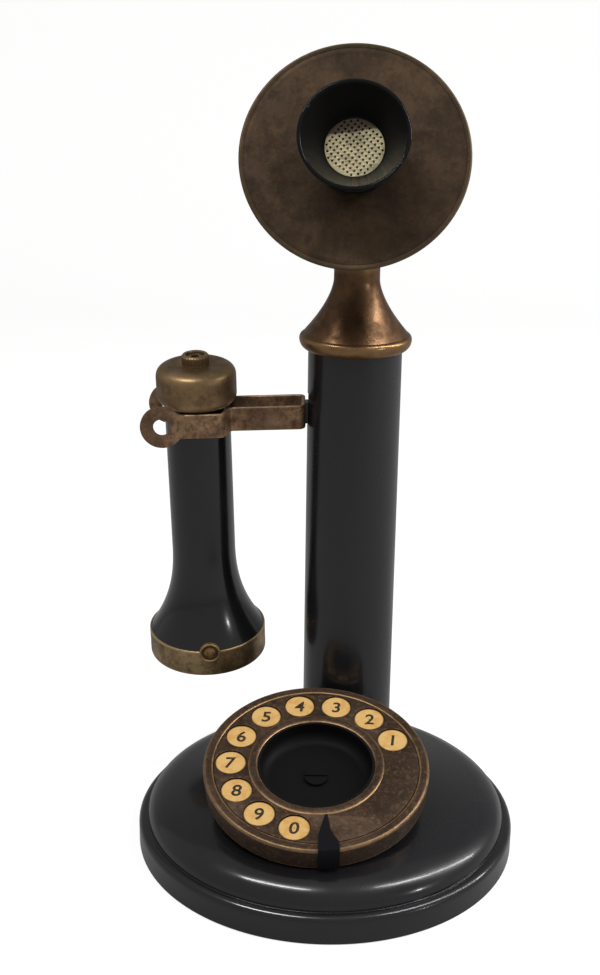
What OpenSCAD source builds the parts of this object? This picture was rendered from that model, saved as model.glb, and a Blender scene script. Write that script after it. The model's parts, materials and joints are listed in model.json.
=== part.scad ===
// Desk telephone of the upright candlestick kind, with a dial on its base.
// Units are millimetres. The origin is the centre of the face that the telephone rests on,
// +Z is up, -Y is the side of the mouthpiece and the dial, and the receiver hangs on -X.

/* [Base] */
// Outer radius of the foot
base_r = 70.8; // [62:0.1:86]
// Height of the foot above the table
foot_h = 10.7; // [9:0.1:13]
// Radius of the dome where it leaves the foot
dome_r = 67.4; // [59:0.1:83]
// Height where the rounded shoulder meets the crown
shoulder_h = 20; // [17:0.1:24]
// Radial length of the rounded shoulder
shoulder_run = 15; // [12:0.1:18]
// Wall of the dome
shell_t = 3; // [2:0.1:4]
// Thickness of the bottom plate
base_plate_t = 2; // [1.5:0.1:3]
// Thickness of the felt pad
felt_t = 1.2; // [0.8:0.1:2]
// Radius of the circle of the four base screws
boss_circle_r = 52; // [49:0.1:60]

/* [Stem] */
// Stem axis, to the right of the base axis
stem_x = 7.75; // [0:0.1:10]
// Gap between the dial's band and the stem
stem_gap = 0.85; // [0.5:0.05:3]
// Outer radius of the stem tube
stem_r = 17.4; // [15:0.1:18.6]
// Wall of the stem tube
stem_wall = 2; // [1.5:0.1:2.5]
// Height of the top of the stem tube
stem_top = 182.6; // [152:0.1:220]

/* [Dial] */
// Centre of the dial's top face, in x
dial_x = -3.5; // [-5:0.1:3]
// Centre of the dial's top face, in y
dial_y = -19.5; // [-22:0.1:-19.5]
// Centre of the dial's top face, in z
dial_z = 40.4; // [40:0.1:46]
// Slope of the dial towards the user, in degrees
dial_tilt = 15.4; // [12:0.1:18]
// Outer radius of the dial
dial_r = 41.2; // [40:0.1:41.6]
// Height of the dial's side band
dial_band = 9.3; // [9:0.1:10.5]
// Inner radius of the raised outer lip
bezel_in_r = 37.5; // [37:0.1:38]
// Radius of the circle of finger holes
hole_circle_r = 31.2; // [30.8:0.1:31.4]
// Radius of a finger hole
finger_hole_r = 5.8; // [5:0.1:5.9]
// Radius of a number disc
number_disc_r = 5.6; // [4.8:0.1:5.6]
// Outer radius of the raised inner lip
wheel_lip_r = 24.8; // [24:0.1:24.8]
// Radius of the open dish in the middle
dish_r = 21.4; // [20:0.1:21.5]
// Depth of the dish below the lips
dish_depth = 7.4; // [6:0.1:7.4]
// Angle of the first finger hole, in degrees
first_hole_angle = 25.6; // [20:0.1:30]
// Angle from one finger hole to the next, in degrees
hole_step_angle = 25.7143; // [25:0.0001:26]

/* [Hook] */
// Height of the hook's pivot
hook_z = 157.35; // [130:0.1:170]
// Roll of the fork about its own length, in degrees
hook_roll = 3; // [0:0.1:5]
// Slope of the fork under the hung receiver, in degrees
hook_droop = 2.6; // [1:0.1:5]
// Height of the fork's strip
strip_h = 9.2; // [7:0.1:10]
// Thickness of the fork's strip
strip_t = 1.3; // [1:0.1:1.6]
// Gap between the fork's two arms near the stem
arm_gap = 11.7; // [10:0.1:13]
// Clearance of the fork round the receiver's neck
neck_clearance = 1.3; // [0.8:0.1:2]
// Outer radius of the rings that end the fork
eyelet_r = 8; // [6:0.1:8.5]
// Radius of the holes in the rings
eyelet_hole_r = 3.15; // [2.8:0.1:4]

/* [Receiver] */
// Distance from the stem axis to the receiver axis
receiver_reach = 58.6; // [54:0.1:70]
// Forward lean of the receiver's top, in degrees
receiver_lean = 5.9; // [0:0.1:8]
// Sideways lean of the receiver's top away from the stem, in degrees
receiver_side_lean = 1.3; // [0:0.1:3]
// Radius of the receiver's barrel
barrel_r = 12.3; // [11:0.1:13.5]
// Length from the cap's lower edge to the ear ring
barrel_l = 95.8; // [80:0.1:115]
// Wall of the barrel
barrel_wall = 2.4; // [2:0.1:3]
// Outer radius of the ear ring
ear_r = 23.1; // [21.5:0.1:25]
// Height of the ear ring
ear_ring_h = 11; // [10:0.1:13]
// Side wall of the cap
cap_side = 2.65; // [2:0.05:4]
// Height of the cap
cap_h = 14.8; // [12:0.1:18]
// Radius of the cap's knob
knob_r = 5.1; // [4:0.1:6.5]
// Height of the cap's knob
knob_h = 3.9; // [2.5:0.1:5]

/* [Head] */
// Height of the collar's bead above the top of the stem tube
bead_rise = 2.6; // [2.2:0.1:4]
// Distance that the bead stands out from the stem tube
bead_out = 3.4; // [2.8:0.1:5]
// Radius of the neck
neck_r = 8.4; // [7.5:0.1:9.5]
// Height of the flared part of the neck above the bead
flare_h = 22; // [18:0.1:26]
// Height of the head's pivot above the bead
pivot_rise = 34.3; // [34.3:0.1:46]
// Upward tilt of the head, in degrees
head_elev = 25; // [15:0.1:30]
// Turn of the head about the upright axis, in degrees
head_turn = -1.9; // [-8:0.1:8]
// Shift of the head along its pivot
head_side = -1.4; // [-2:0.1:2]
// Distance from the pivot forward to the faceplate
head_back = 32.4; // [31:0.1:36]
// Distance from the pivot up to the head's axis
head_drop = 22.3; // [22.3:0.1:26]
// Radius of the faceplate
plate_r = 39.9; // [36:0.1:46]
// Thickness of the faceplate
plate_t = 2.2; // [1.6:0.1:3]
// Radius of the mouthpiece's rim
mouth_r = 18.9; // [16:0.1:22]
// Length of the mouthpiece in front of the faceplate
mouth_l = 21.4; // [18:0.1:26]
// Radius of the grille in the mouthpiece
grille_r = 10.1; // [9:0.1:11]
// Distance of the grille in front of the faceplate
grille_out = 8; // [6:0.1:9]

/* [Hidden] */
$fn = 64;
eps = 0.01;

// fits
run_fit = 0.05;      // radial play of a shaft in its bore
seat_gap = 0.05;     // play of a piece seated in another
shell_gap = 0.2;     // play where a tube passes through a shell
screw_gap = 0.1;     // play of a screw in a hole

// base
plate_z = felt_t;                       // underside of the bottom plate
floor_z = felt_t + base_plate_t;        // top of the bottom plate
skirt_z = 0.4;                          // the foot's edge stays off the table
groove = 1.2;                           // groove between the foot and the dome
edge_r = 1.2;                           // rounding of the foot's upper edge
dome_z = foot_h - groove;
shoulder_end = 70.5;                    // angle where the shoulder becomes the crown
shoulder_rise = (shoulder_h - dome_z) / sin(shoulder_end);
shoulder_c = dome_r - shoulder_run;
crown_r = shoulder_c + shoulder_run * cos(shoulder_end);
crown_rise = shoulder_rise / shoulder_run / tan(shoulder_end) * crown_r / 2;
plate_r_base = base_r - 4;              // radius of the bottom plate
foot_in_r = plate_r_base + seat_gap;
ballast_w = 7;
ballast_h = 6;
ballast_r = dome_r - shell_t - 0.5;
boss_angles = [37, 135, 221, 314];
boss_r = 3.5;
base_screw_r = 1.4;
cord_z = 6.4;                           // axis of the cord inlet
cord_bore_r = 2.6;
cord_bush_r = 3.8;
cord_bush_l = 8;
terminal_pos = [44, 4];
terminal_size = [11, 30, 8];
terminal_pitch = 9;
terminal_screw_r = 1.3;

// stem, which stands as close behind the dial as its gap lets it
pedestal_y = dial_y + dial_band * sin(dial_tilt);
band_taper = 0.6;                       // the side band narrows a little towards the base
stem_reach = (dial_r - band_taper) * cos(dial_tilt) + stem_gap + stem_r;
stem_y = pedestal_y + sqrt(pow(stem_reach, 2) - pow(stem_x - dial_x, 2));
stem_in_r = stem_r - stem_wall;
socket_r = stem_r + 3.6;
socket_t = 3;
socket_h = 18;                          // length of the socket's spigot
socket_bore_r = stem_in_r - 5.4;
socket_screw_r = (stem_in_r + socket_bore_r) / 2 - 0.1;
slot_w = 6.6;
slot_h = 13;
slot_low = -6;                          // lower edge of the slot, from the hook's pivot

// dial
pedestal_r = dial_r - 7.2;
pedestal_wall = 2.5;
pedestal_in_r = pedestal_r - pedestal_wall;
case_wall = 1.5;
lip_round = 1.1;
web_top = -0.1;                         // top of the finger wheel between its lips
web_t = 0.4;
inner_lip_top = 0.5;                    // top of the lip round the dish
number_disc_t = 0.25;
number_top = web_top - web_t - 0.1 - number_disc_t;
number_plate_t = 1;
ledge_z = number_top - number_plate_t;
case_floor_t = 1;
case_floor_in_r = 23.4;
hole_count = 10;
wheel_r = bezel_in_r - 0.2;
dish_t = 0.9;
frame_z = -dial_band - run_fit;
frame_t = 1.2;
frame_r = 26.6;
back_z = frame_z - 15.7;                // top of the back plate
back_t = 1.2;
back_r = 25.5;
pillar_r = 2;
pillar_circle_r = 22.8;
pillar_angles = [20, 140, 300];
shaft_r = 2.5;
shaft_end = back_z - back_t;
gear_module = 0.6;
main_teeth = 48;
pinion_teeth = 12;
train_module = 0.4;
train_teeth = 30;
governor_teeth = 10;
arbor_circle_r = gear_module * (main_teeth + pinion_teeth) / 2;
train_centre = train_module * (train_teeth + governor_teeth) / 2;
pinion_angle = 26.5 * 360 / main_teeth;
governor_angle = pinion_angle + 2 * asin(train_centre / 2 / arbor_circle_r);
main_gear_z = frame_z - 5.2;
main_gear_t = 1.5;
arbor_r = 0.9;
cam_z = frame_z - 2.9;
cam_r = 3.1;
train_gear_z = frame_z - 7.9;
drum_r = 6.4;
drum_in_r = 5.7;
spring_in_r = shaft_r + 0.5;
spring_turns = 5;
spring_pitch = 1.45;
stop_top = 1.2;
stop_t_out = 0.8;
case_screw_circle_r = 30;
case_screw_angles = [90, 210, 330];
frame_screw_circle_r = 25;
frame_screw_angles = [60, 155, 260];

// hook, measured from its pivot
lean_in_fork = receiver_lean - hook_roll;
fork_gap = 2 * (barrel_r / cos(lean_in_fork) + strip_h / 2 * tan(lean_in_fork) + neck_clearance / 2);
fork_in = fork_gap / 2;
fork_out = fork_in + strip_t;
arm_out = arm_gap / 2 + strip_t;
web_x = -(stem_r + 0.75);               // the fork's closed end, towards the stem
jog_angle = 72.6;
jog_shift = strip_t * tan(jog_angle / 2);
jog_far_x = (barrel_r + 0.8 - fork_in * cos(jog_angle)) / sin(jog_angle) - receiver_reach;
jog_near_x = jog_far_x + (fork_in - arm_gap / 2) / tan(jog_angle);
eyelet_x = -(receiver_reach + 12.25);
lever_w = 5;
lever_h = 8;
hook_pin_r = 1.5;
cheek_gap = 6.4;
cheek_t = 1.5;
bracket_back = sqrt(pow(stem_in_r, 2) - pow(cheek_gap / 2 + cheek_t, 2)) - 0.65;
bracket_low = -34;
bracket_screw_z = [-12, -27];
bracket_screw_x = 6;
blade_w = 4;
blade_t = 0.4;
blade_x = [-4.4, -6.4, -8.4];
spring_x = bracket_back - 5.4;
lever_tail_x = spring_x + 3.4;
spring_r = 1.9;
spring_wire_r = 0.3;
spring_top = 13;

// receiver, whose cap rests on the fork's front arm
cap_r = barrel_r + seat_gap + cap_side;
cap_low_round = 3.5;
cap_top_round = 4.6;
cap_top_run = 6;
cap_edge = fork_in - 0.25 - cap_r + cap_low_round;        // how far the arm lies out on the cap's rounded edge
seat_h = strip_h / 2 + 0.3 + fork_in * sin(lean_in_fork) - cap_low_round + sqrt(pow(cap_low_round, 2) - pow(cap_edge, 2));
flare_l = 36;                                             // length of the barrel's flare
barrel_power = 2.4;
ear_in_r = ear_r - 0.55;
ear_ring_z = -barrel_l - ear_ring_h;                      // lower edge of the ear ring
barrel_end = -barrel_l - 3;
diaphragm_t = 0.4;
ear_cap_top = barrel_end - diaphragm_t;
ear_lip = 1.2;
ear_hole_r = 6;
cap_wall = 1.6;
lug_r = 4.1;
lug_t = 1.6;
lug_angle = -83;
lug_rise = 2.1;                         // the lug stands above its pin
lug_z = -barrel_l - 1.9;
lug_pin_r = 0.9;
knob_bore_r = 1.6;

// head
bead_z = stem_top + bead_rise;
bead_r = stem_r + bead_out;
pivot_z = bead_z + pivot_rise;
bead_half = 1.9;
bead_low = 3.9;                         // the bead is deeper below its middle
flare_r = bead_r - 3;                   // the flare's foot
flare_power = 1.6;
collar_spigot = 8;
neck_bore_r = 4;
cheek_r = 5;
head_lug_t = 5;
head_cheek_t = 3;
head_pin_r = 1.8;
cup_flange_r = 33;
cup_r = 28.5;
cup_back_r = 22;
cup_depth = 24;
cup_wall = 1.6;
cup_back = -plate_t - cup_depth;
cup_round = 6;
face_hole_r = 12.2;
mouth_base_r = 12;
mouth_lip_t = 0.9;
face_screw_r = 1.1;
face_screw_circle_r = 30.8;
face_screw_angles = [30, 150, 270];
button_r = 9;
bridge_w = 12;

// helpers
function polar(r, a) = [r * cos(a), r * sin(a)];
function arc(cx, cy, rx, ry, from, to, steps) =
    [for (i = [0 : steps]) let (a = from + (to - from) * i / steps) [cx + rx * cos(a), cy + ry * sin(a)]];

module ring(r_out, r_in, h) {
    difference() {
        cylinder(r = r_out, h = h);
        translate([0, 0, -1]) cylinder(r = r_in, h = h + 2);
    }
}

// slotted screw: the head stands on z = 0 and the shank points down
module screw(shank_r, shank_l, head_r, head_h) {
    translate([0, 0, -shank_l]) cylinder(r = shank_r, h = shank_l + eps);
    difference() {
        cylinder(r = head_r, h = head_h);
        translate([-head_r - 1, -head_r / 7, head_h * 0.55]) cube([2 * head_r + 2, head_r / 3.5, head_h]);
    }
}

// spur gear with involute flanks, thinned a little so that the mesh runs free
function inv(a) = tan(a) - a * PI / 180;
function tooth_half(r, m, n) =
    let (rb = m * n / 2 * cos(20), ra = max(r, rb))
    90 / n * 0.86 + (inv(20) - inv(acos(rb / ra))) * 180 / PI;
function tooth_radii(m, n) = [m * (n / 2 - 1.2), m * (n / 2 - 0.5), m * n / 2, m * (n / 2 + 0.45), m * (n / 2 + 0.85)];
function gear_outline(m, n) =
    [for (k = [0 : n - 1], side = [-1, 1], i = [0 : 4])
        let (r = tooth_radii(m, n)[side < 0 ? i : 4 - i])
        polar(r, 360 / n * k + side * tooth_half(r, m, n))];
module spur_gear(m, n, h, bore_r) {
    difference() {
        linear_extrude(height = h) polygon(gear_outline(m, n));
        translate([0, 0, -1]) cylinder(r = bore_r, h = h + 2);
    }
}

module dial_place() {
    translate([dial_x, dial_y, dial_z]) rotate([dial_tilt, 0, 0]) children();
}
module hook_place() {
    translate([stem_x, stem_y, hook_z]) rotate([0, -hook_droop, 0]) children();
}
module switch_place() {
    translate([stem_x, stem_y, hook_z]) children();
}
module fork_place() {
    hook_place() rotate([hook_roll, 0, 0]) children();
}
module receiver_place() {
    fork_place() translate([-receiver_reach, -seat_h * tan(lean_in_fork), seat_h])
        rotate([-hook_roll, 0, 0]) rotate([receiver_lean, hook_droop - receiver_side_lean, 0]) children();
}
module pivot_place() {
    translate([stem_x, stem_y, pivot_z]) rotate([0, 0, head_turn]) children();
}
module tilt_place() {
    pivot_place() rotate([90 - head_elev, 0, 0]) children();
}
module head_place() {
    tilt_place() translate([head_side, head_drop, head_back]) children();
}

// ---------------------------------------------------------------- base

function crown(r) = shoulder_h + crown_rise * (1 - pow(r / crown_r, 2));
dome_outer = concat(
    [[base_r, skirt_z]],
    arc(base_r - edge_r, foot_h - edge_r, edge_r, edge_r, 0, 90, 5),
    [[dome_r + groove * 0.7, foot_h]],
    arc(shoulder_c, dome_z, shoulder_run, shoulder_rise, 0, shoulder_end, 14),
    [for (i = [1 : 14]) let (r = crown_r * (1 - i / 14)) [r, crown(r)]]);
dome_inner = concat(
    [for (i = [14 : -1 : 1]) let (r = crown_r * (1 - i / 14)) [r, crown(r) - shell_t]],
    arc(shoulder_c, dome_z, shoulder_run - shell_t, shoulder_rise - shell_t, shoulder_end, 0, 8),
    [[dome_r - shell_t, floor_z], [foot_in_r, floor_z], [foot_in_r, skirt_z]]);

module at_bosses() {
    for (a = boss_angles) rotate(a) translate([boss_circle_r, 0, 0]) children();
}

module base_dome() {
    color("#14130f") difference() {
        union() {
            rotate_extrude() polygon(concat(dome_outer, dome_inner));
            at_bosses() translate([0, 0, floor_z]) cylinder(r = boss_r, h = crown(boss_circle_r) - floor_z - 1.5);
        }
        translate([stem_x, stem_y, 0]) cylinder(r = stem_r + shell_gap, h = 60);
        translate([dial_x, pedestal_y, 0]) cylinder(r = pedestal_r + shell_gap, h = 60);
        at_bosses() translate([0, 0, floor_z - 1]) cylinder(r = base_screw_r, h = 11);
        translate([0, 0, cord_z]) rotate([-90, 0, 0]) cylinder(r = cord_bush_r - 0.9 + seat_gap, h = base_r + 5);
    }
}

module at_socket_screws() {
    translate([stem_x, stem_y, 0]) for (a = [90, 210, 330]) rotate(a) translate([socket_screw_r, 0, 0]) children();
}
module at_pedestal_screws() {
    translate([dial_x, pedestal_y, 0]) for (a = [30, 150, 270]) rotate(a) translate([pedestal_in_r - 2.1, 0, 0]) children();
}

module base_plate() {
    color("#5b5750") difference() {
        translate([0, 0, plate_z]) cylinder(r = plate_r_base, h = base_plate_t);
        at_bosses() translate([0, 0, -1]) cylinder(r = base_screw_r + screw_gap, h = 20);
        at_socket_screws() translate([0, 0, -1]) cylinder(r = base_screw_r + screw_gap, h = 20);
        at_pedestal_screws() translate([0, 0, -1]) cylinder(r = base_screw_r + screw_gap, h = 20);
        at_socket_screws() translate([0, 0, plate_z - eps]) cylinder(r = 2.6, h = 1);
        at_pedestal_screws() translate([0, 0, plate_z - eps]) cylinder(r = 2.6, h = 1);
    }
}

module felt_pad() {
    color("#2c4a35") difference() {
        cylinder(r = plate_r_base - 2, h = felt_t);
        at_bosses() translate([0, 0, -1]) cylinder(r = 3.4, h = felt_t + 2);
    }
}

module ballast_ring() {
    color("#474747") translate([0, 0, floor_z]) difference() {
        ring(ballast_r, ballast_r - ballast_w, ballast_h);
        translate([-6, ballast_r - ballast_w - 4, -1]) cube([12, ballast_w + 8, ballast_h + 2]);
        translate([stem_x, stem_y, -1]) cylinder(r = socket_r + 1, h = ballast_h + 2);
    }
}

module base_screws() {
    color("#8a8172") {
        at_bosses() translate([0, 0, plate_z]) mirror([0, 0, 1]) screw(base_screw_r - 0.02, base_plate_t + 8, 2.8, 0.8);
        at_socket_screws() translate([0, 0, plate_z + 1 - 2 * eps]) mirror([0, 0, 1])
            screw(base_screw_r - 0.02, base_plate_t - 1 + socket_t + 3, 2.5, 0.8);
        at_pedestal_screws() translate([0, 0, plate_z + 1 - 2 * eps]) mirror([0, 0, 1])
            screw(base_screw_r - 0.02, base_plate_t - 1 + 6, 2.5, 0.8);
    }
}

module cord_bush() {
    color("#191817") translate([0, base_r + 1.4, cord_z]) rotate([90, 0, 0]) difference() {
        union() {
            cylinder(r = cord_bush_r, h = 1.4 - seat_gap);
            cylinder(r = cord_bush_r - 0.9, h = cord_bush_l);
        }
        translate([0, 0, -1]) cylinder(r = cord_bore_r, h = cord_bush_l + 2);
    }
}

module at_terminals() {
    for (i = [-1 : 1]) translate([terminal_pos[0], terminal_pos[1] + i * terminal_pitch, floor_z + terminal_size[2]]) children();
}
module terminal_block() {
    color("#3a2417") difference() {
        translate([terminal_pos[0] - terminal_size[0] / 2, terminal_pos[1] - terminal_size[1] / 2, floor_z])
            cube(terminal_size);
        at_terminals() translate([0, 0, -6]) cylinder(r = terminal_screw_r, h = 7);
    }
}
module terminal_screws() {
    color("#b08a43") at_terminals() {
        screw(terminal_screw_r - 0.02, 5.5, 2.6, 1.6);
    }
}

// ---------------------------------------------------------------- stem

module stem_socket() {
    color("#7d6a45") translate([stem_x, stem_y, floor_z]) difference() {
        union() {
            cylinder(r = socket_r, h = socket_t);
            cylinder(r = stem_in_r - seat_gap, h = socket_h);
        }
        translate([0, 0, -1]) cylinder(r = socket_bore_r, h = socket_h + 2);
        for (a = [90, 210, 330]) rotate(a) translate([socket_screw_r, 0, -1]) cylinder(r = base_screw_r, h = 8);
    }
}

module stem_tube() {
    tube_z = floor_z + socket_t;
    color("#121215") difference() {
        translate([stem_x, stem_y, tube_z]) ring(stem_r, stem_in_r, stem_top - tube_z);
        switch_place() translate([-stem_r - 5, -slot_w / 2, slot_low]) cube([stem_r, slot_w, slot_h]);
        switch_place() for (z = bracket_screw_z) translate([bracket_screw_x, 0, z]) rotate([-90, 0, 0])
            cylinder(r = 1.3 + screw_gap, h = stem_r + 5);
    }
}

// ---------------------------------------------------------------- dial

module dial_pedestal() {
    color("#151417") difference() {
        translate([dial_x, pedestal_y, floor_z]) cylinder(r = pedestal_r, h = dial_z + 20);
        difference() {
            translate([dial_x, pedestal_y, floor_z - 1]) cylinder(r = pedestal_in_r, h = dial_z + 40);
            at_pedestal_screws() translate([0, 0, floor_z - 2]) cylinder(r = 3, h = 9);
            dial_place() for (a = case_screw_angles) translate(concat(polar(case_screw_circle_r, a), [-dial_band - 7]))
                cylinder(r = 3, h = 12);
        }
        dial_place() translate([-100, -100, -dial_band]) cube([200, 200, 100]);
        at_pedestal_screws() translate([0, 0, floor_z - 1]) cylinder(r = base_screw_r, h = 7);
        dial_place() for (a = case_screw_angles) translate(concat(polar(case_screw_circle_r, a), [-dial_band - 6]))
            cylinder(r = 1.1, h = 12);
    }
}

module dial_case() {
    lip_in = 0.5;
    profile = concat(
        [[bezel_in_r, ledge_z]],
        arc(bezel_in_r + lip_in, -lip_in, lip_in, lip_in, 180, 90, 4),
        arc(dial_r - lip_round, -lip_round, lip_round, lip_round, 90, 0, 6),
        [[dial_r - band_taper, -dial_band], [case_floor_in_r, -dial_band], [case_floor_in_r, -dial_band + case_floor_t],
         [dial_r - band_taper - case_wall, -dial_band + case_floor_t], [dial_r - case_wall, ledge_z - 1],
         [bezel_in_r - 2, ledge_z - 1], [bezel_in_r - 2, ledge_z]]);
    color("#4a3320") dial_place() difference() {
        rotate_extrude() polygon(profile);
        for (a = case_screw_angles) translate(concat(polar(case_screw_circle_r, a), [-dial_band - 1]))
            cylinder(r = 1.1 + screw_gap, h = 3);
        for (a = frame_screw_angles) translate(concat(polar(frame_screw_circle_r, a), [-dial_band - 1]))
            cylinder(r = 0.8, h = 3);
    }
}

module number_plate() {
    color("#2b2018") dial_place() translate([0, 0, ledge_z])
        ring(bezel_in_r - 0.15, dish_r + 0.7, number_plate_t);
}

module at_numbers() {
    for (k = [0 : hole_count - 1]) rotate(first_hole_angle + hole_step_angle * k) translate([hole_circle_r, 0, 0]) children();
}
module number_discs() {
    color("#e0b76a") dial_place() at_numbers() translate([0, 0, number_top]) cylinder(r = number_disc_r, h = number_disc_t);
}

module finger_stop() {
    wedge = [polar(wheel_lip_r + 0.8, -82), polar(34.4, -87.6), polar(dial_r + 4, -88.2), polar(dial_r + 4, -78.4),
             polar(38.4, -77), polar(35.5, -78.8), polar(32.6, -80.2), polar(28.5, -80.2), polar(wheel_lip_r + 0.8, -80)];
    color("#0f0f12") dial_place() difference() {
        linear_extrude(height = 20, center = true) polygon(wedge);
        translate([0, 0, stop_top]) cylinder(r = 80, h = 30);
        translate([0, 0, -40]) cylinder(r = wheel_r + 0.1, h = 40 + web_top + 0.35);
        difference() {
            translate([0, 0, -40]) cylinder(r = dial_r + eps, h = 40 + 2 * eps);
            translate([0, 0, -41]) cylinder(r = bezel_in_r - 0.1, h = 42 + 2 * eps);
        }
        translate([0, 0, -40]) cylinder(r = 80, h = 41.1 - dial_band);
        translate([0, 0, -50]) ring(80, dial_r + stop_t_out, 100);
    }
}

module finger_wheel() {
    lip_r = (wheel_lip_r - dish_r) / 2;
    profile = concat(
        [[dish_r, web_top - web_t], [wheel_r, web_top - web_t], [wheel_r, web_top]],
        arc((wheel_lip_r + dish_r) / 2, web_top, lip_r, inner_lip_top - web_top, 0, 180, 10));
    color("#523821") dial_place() difference() {
        rotate_extrude() polygon(profile);
        at_numbers() translate([0, 0, -5]) cylinder(r = finger_hole_r, h = 6);
    }
}

module wheel_dish() {
    out_r = dish_r - seat_gap;
    bottom = -dish_depth - dish_t;
    round_r = 5;
    profile = concat(
        [[shaft_r + 0.02, bottom]],
        arc(out_r - round_r, bottom + round_r, round_r, round_r, -90, 0, 6),
        [[out_r, web_top + 0.2], [out_r - dish_t, web_top + 0.2]],
        arc(out_r - round_r, bottom + round_r, round_r - dish_t, round_r - dish_t, 0, -90, 6),
        [[shaft_r + 0.02, -dish_depth]]);
    color("#0c0c0e") dial_place() rotate_extrude() polygon(profile);
}

module hub_screw() {
    color("#141316") dial_place() translate([0, 0, -dish_depth + eps]) difference() {
        cylinder(r = 4.2, h = 1.1);
        translate([-6, -0.5, 0.6]) cube([12, 1, 2]);
    }
}

module dial_shaft() {
    color("#9a9a98") dial_place() {
        translate([0, 0, shaft_end]) cylinder(r = shaft_r, h = -shaft_end - dish_depth);
        translate([0, 0, main_gear_z - 0.9]) cylinder(r = 4.5, h = 0.9);
    }
}

module main_gear() {
    color("#b3924f") dial_place() translate([0, 0, main_gear_z]) spur_gear(gear_module, main_teeth, main_gear_t, shaft_r + 0.02);
}

module at_pinion() { rotate(pinion_angle) translate([arbor_circle_r, 0, 0]) children(); }
module at_governor() { rotate(governor_angle) translate([arbor_circle_r, 0, 0]) children(); }

module mechanism_frame() {
    color("#a58549") dial_place() difference() {
        translate([0, 0, frame_z - frame_t]) cylinder(r = frame_r, h = frame_t);
        translate([0, 0, frame_z - 5]) cylinder(r = shaft_r + run_fit, h = 10);
        at_pinion() translate([0, 0, frame_z - 5]) cylinder(r = arbor_r + run_fit, h = 10);
        at_governor() translate([0, 0, frame_z - 5]) cylinder(r = arbor_r + run_fit, h = 10);
        for (a = frame_screw_angles) translate(concat(polar(frame_screw_circle_r, a), [frame_z - 5]))
            cylinder(r = 0.8 + screw_gap, h = 10);
    }
}

module back_plate() {
    color("#a58549") dial_place() difference() {
        union() {
            translate([0, 0, back_z - back_t]) cylinder(r = back_r, h = back_t);
            for (a = pillar_angles) translate(concat(polar(pillar_circle_r, a), [back_z - eps]))
                cylinder(r = pillar_r, h = frame_z - frame_t - back_z + eps);
        }
        translate([0, 0, back_z - 5]) cylinder(r = shaft_r + run_fit, h = 10);
        at_pinion() translate([0, 0, back_z - 5]) cylinder(r = arbor_r + run_fit, h = 10);
        at_governor() translate([0, 0, back_z - 5]) cylinder(r = arbor_r + run_fit, h = 10);
    }
}

module mainspring() {
    steps = 20 * spring_turns;
    half_t = 0.22;
    function spiral(side) = [for (i = [0 : steps]) let (t = i / 20)
        polar(spring_in_r + half_t + spring_pitch * t + side * half_t, 360 * t)];
    inner = spiral(-1);
    color("#6f767c") dial_place() translate([0, 0, main_gear_z - 5.2]) linear_extrude(height = 3.4)
        polygon(concat(spiral(1), [for (i = [steps : -1 : 0]) inner[i]]));
}

// the pinion's tooth 0 points at the gap of the gear that it meets
module pinion_arbor() {
    color("#b9b2a2") dial_place() at_pinion() {
        translate([0, 0, back_z - back_t]) cylinder(r = arbor_r, h = frame_z - back_z + back_t - 0.2);
        rotate(180) translate([0, 0, main_gear_z - 0.2]) spur_gear(gear_module, pinion_teeth, main_gear_t + 0.4, 0.4);
        rotate(180 / train_teeth) translate([0, 0, train_gear_z]) spur_gear(train_module, train_teeth, 1.2, 0.4);
    }
}

module impulse_cam() {
    color("#8c6b36") dial_place() at_pinion() translate([0, 0, cam_z]) difference() {
        intersection() {
            cylinder(r = cam_r, h = 0.9);
            translate([-cam_r - 1, -1.8, -1]) cube([2 * cam_r + 2, 3.6, 3]);
        }
        translate([0, 0, -1]) cylinder(r = arbor_r + 0.02, h = 4);
    }
}

module governor_arbor() {
    color("#b9b2a2") dial_place() at_governor() {
        translate([0, 0, back_z - back_t]) cylinder(r = arbor_r, h = frame_z - back_z + back_t - 0.2);
        rotate(governor_phase) translate([0, 0, train_gear_z - 0.2])
            spur_gear(train_module, governor_teeth, 1.6, 0.4);
    }
}
// direction of the pinion seen from the governor, in the governor's own axes, set so that
// a gap of the governor's teeth faces a tooth of the train gear
train_line = atan2(polar(arbor_circle_r, pinion_angle)[1] - polar(arbor_circle_r, governor_angle)[1],
                   polar(arbor_circle_r, pinion_angle)[0] - polar(arbor_circle_r, governor_angle)[0]);
train_phase = (train_line + 180 - pinion_angle - 180 / train_teeth) * train_teeth / 360;
train_offset = (train_phase - floor(train_phase)) * 360 / train_teeth;
governor_phase = train_line - governor_angle + 180 / governor_teeth
    + train_offset * train_teeth / governor_teeth;

module governor_weights() {
    color("#c09a52") dial_place() at_governor() translate([0, 0, back_z + 1.6]) difference() {
        union() {
            cylinder(r = 1.7, h = 3);
            for (a = [0, 180]) rotate(a) {
                translate([1, -0.5, 1]) cube([3, 1, 1]);
                translate([3.9, 0, 0]) cylinder(r = 1.3, h = 3);
            }
        }
        translate([0, 0, -1]) cylinder(r = arbor_r + 0.02, h = 6);
    }
}

module governor_drum() {
    color("#8f8a80") dial_place() at_governor() translate([0, 0, back_z]) difference() {
        cylinder(r = drum_r, h = 5.6);
        translate([0, 0, 0.8]) cylinder(r = drum_in_r, h = 6);
        translate([0, 0, -1]) cylinder(r = arbor_r + 0.3, h = 4);
    }
}

module impulse_springs() {
    color("#c8a86a") dial_place() at_pinion() for (i = [0, 1])
        translate([cam_r + 0.4 + 0.9 * i, -9, cam_z - 0.1]) cube([0.3, 14, 1.1]);
}
module impulse_block() {
    color("#2f211a") dial_place() at_pinion() difference() {
        translate([cam_r - 0.2, -9, cam_z - 0.6]) cube([2.8, 4.6, frame_z - frame_t - cam_z + 0.6]);
        for (i = [0, 1]) translate([cam_r + 0.38 + 0.9 * i, -10, cam_z - 0.12]) cube([0.34, 16, 1.14]);
    }
}

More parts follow.
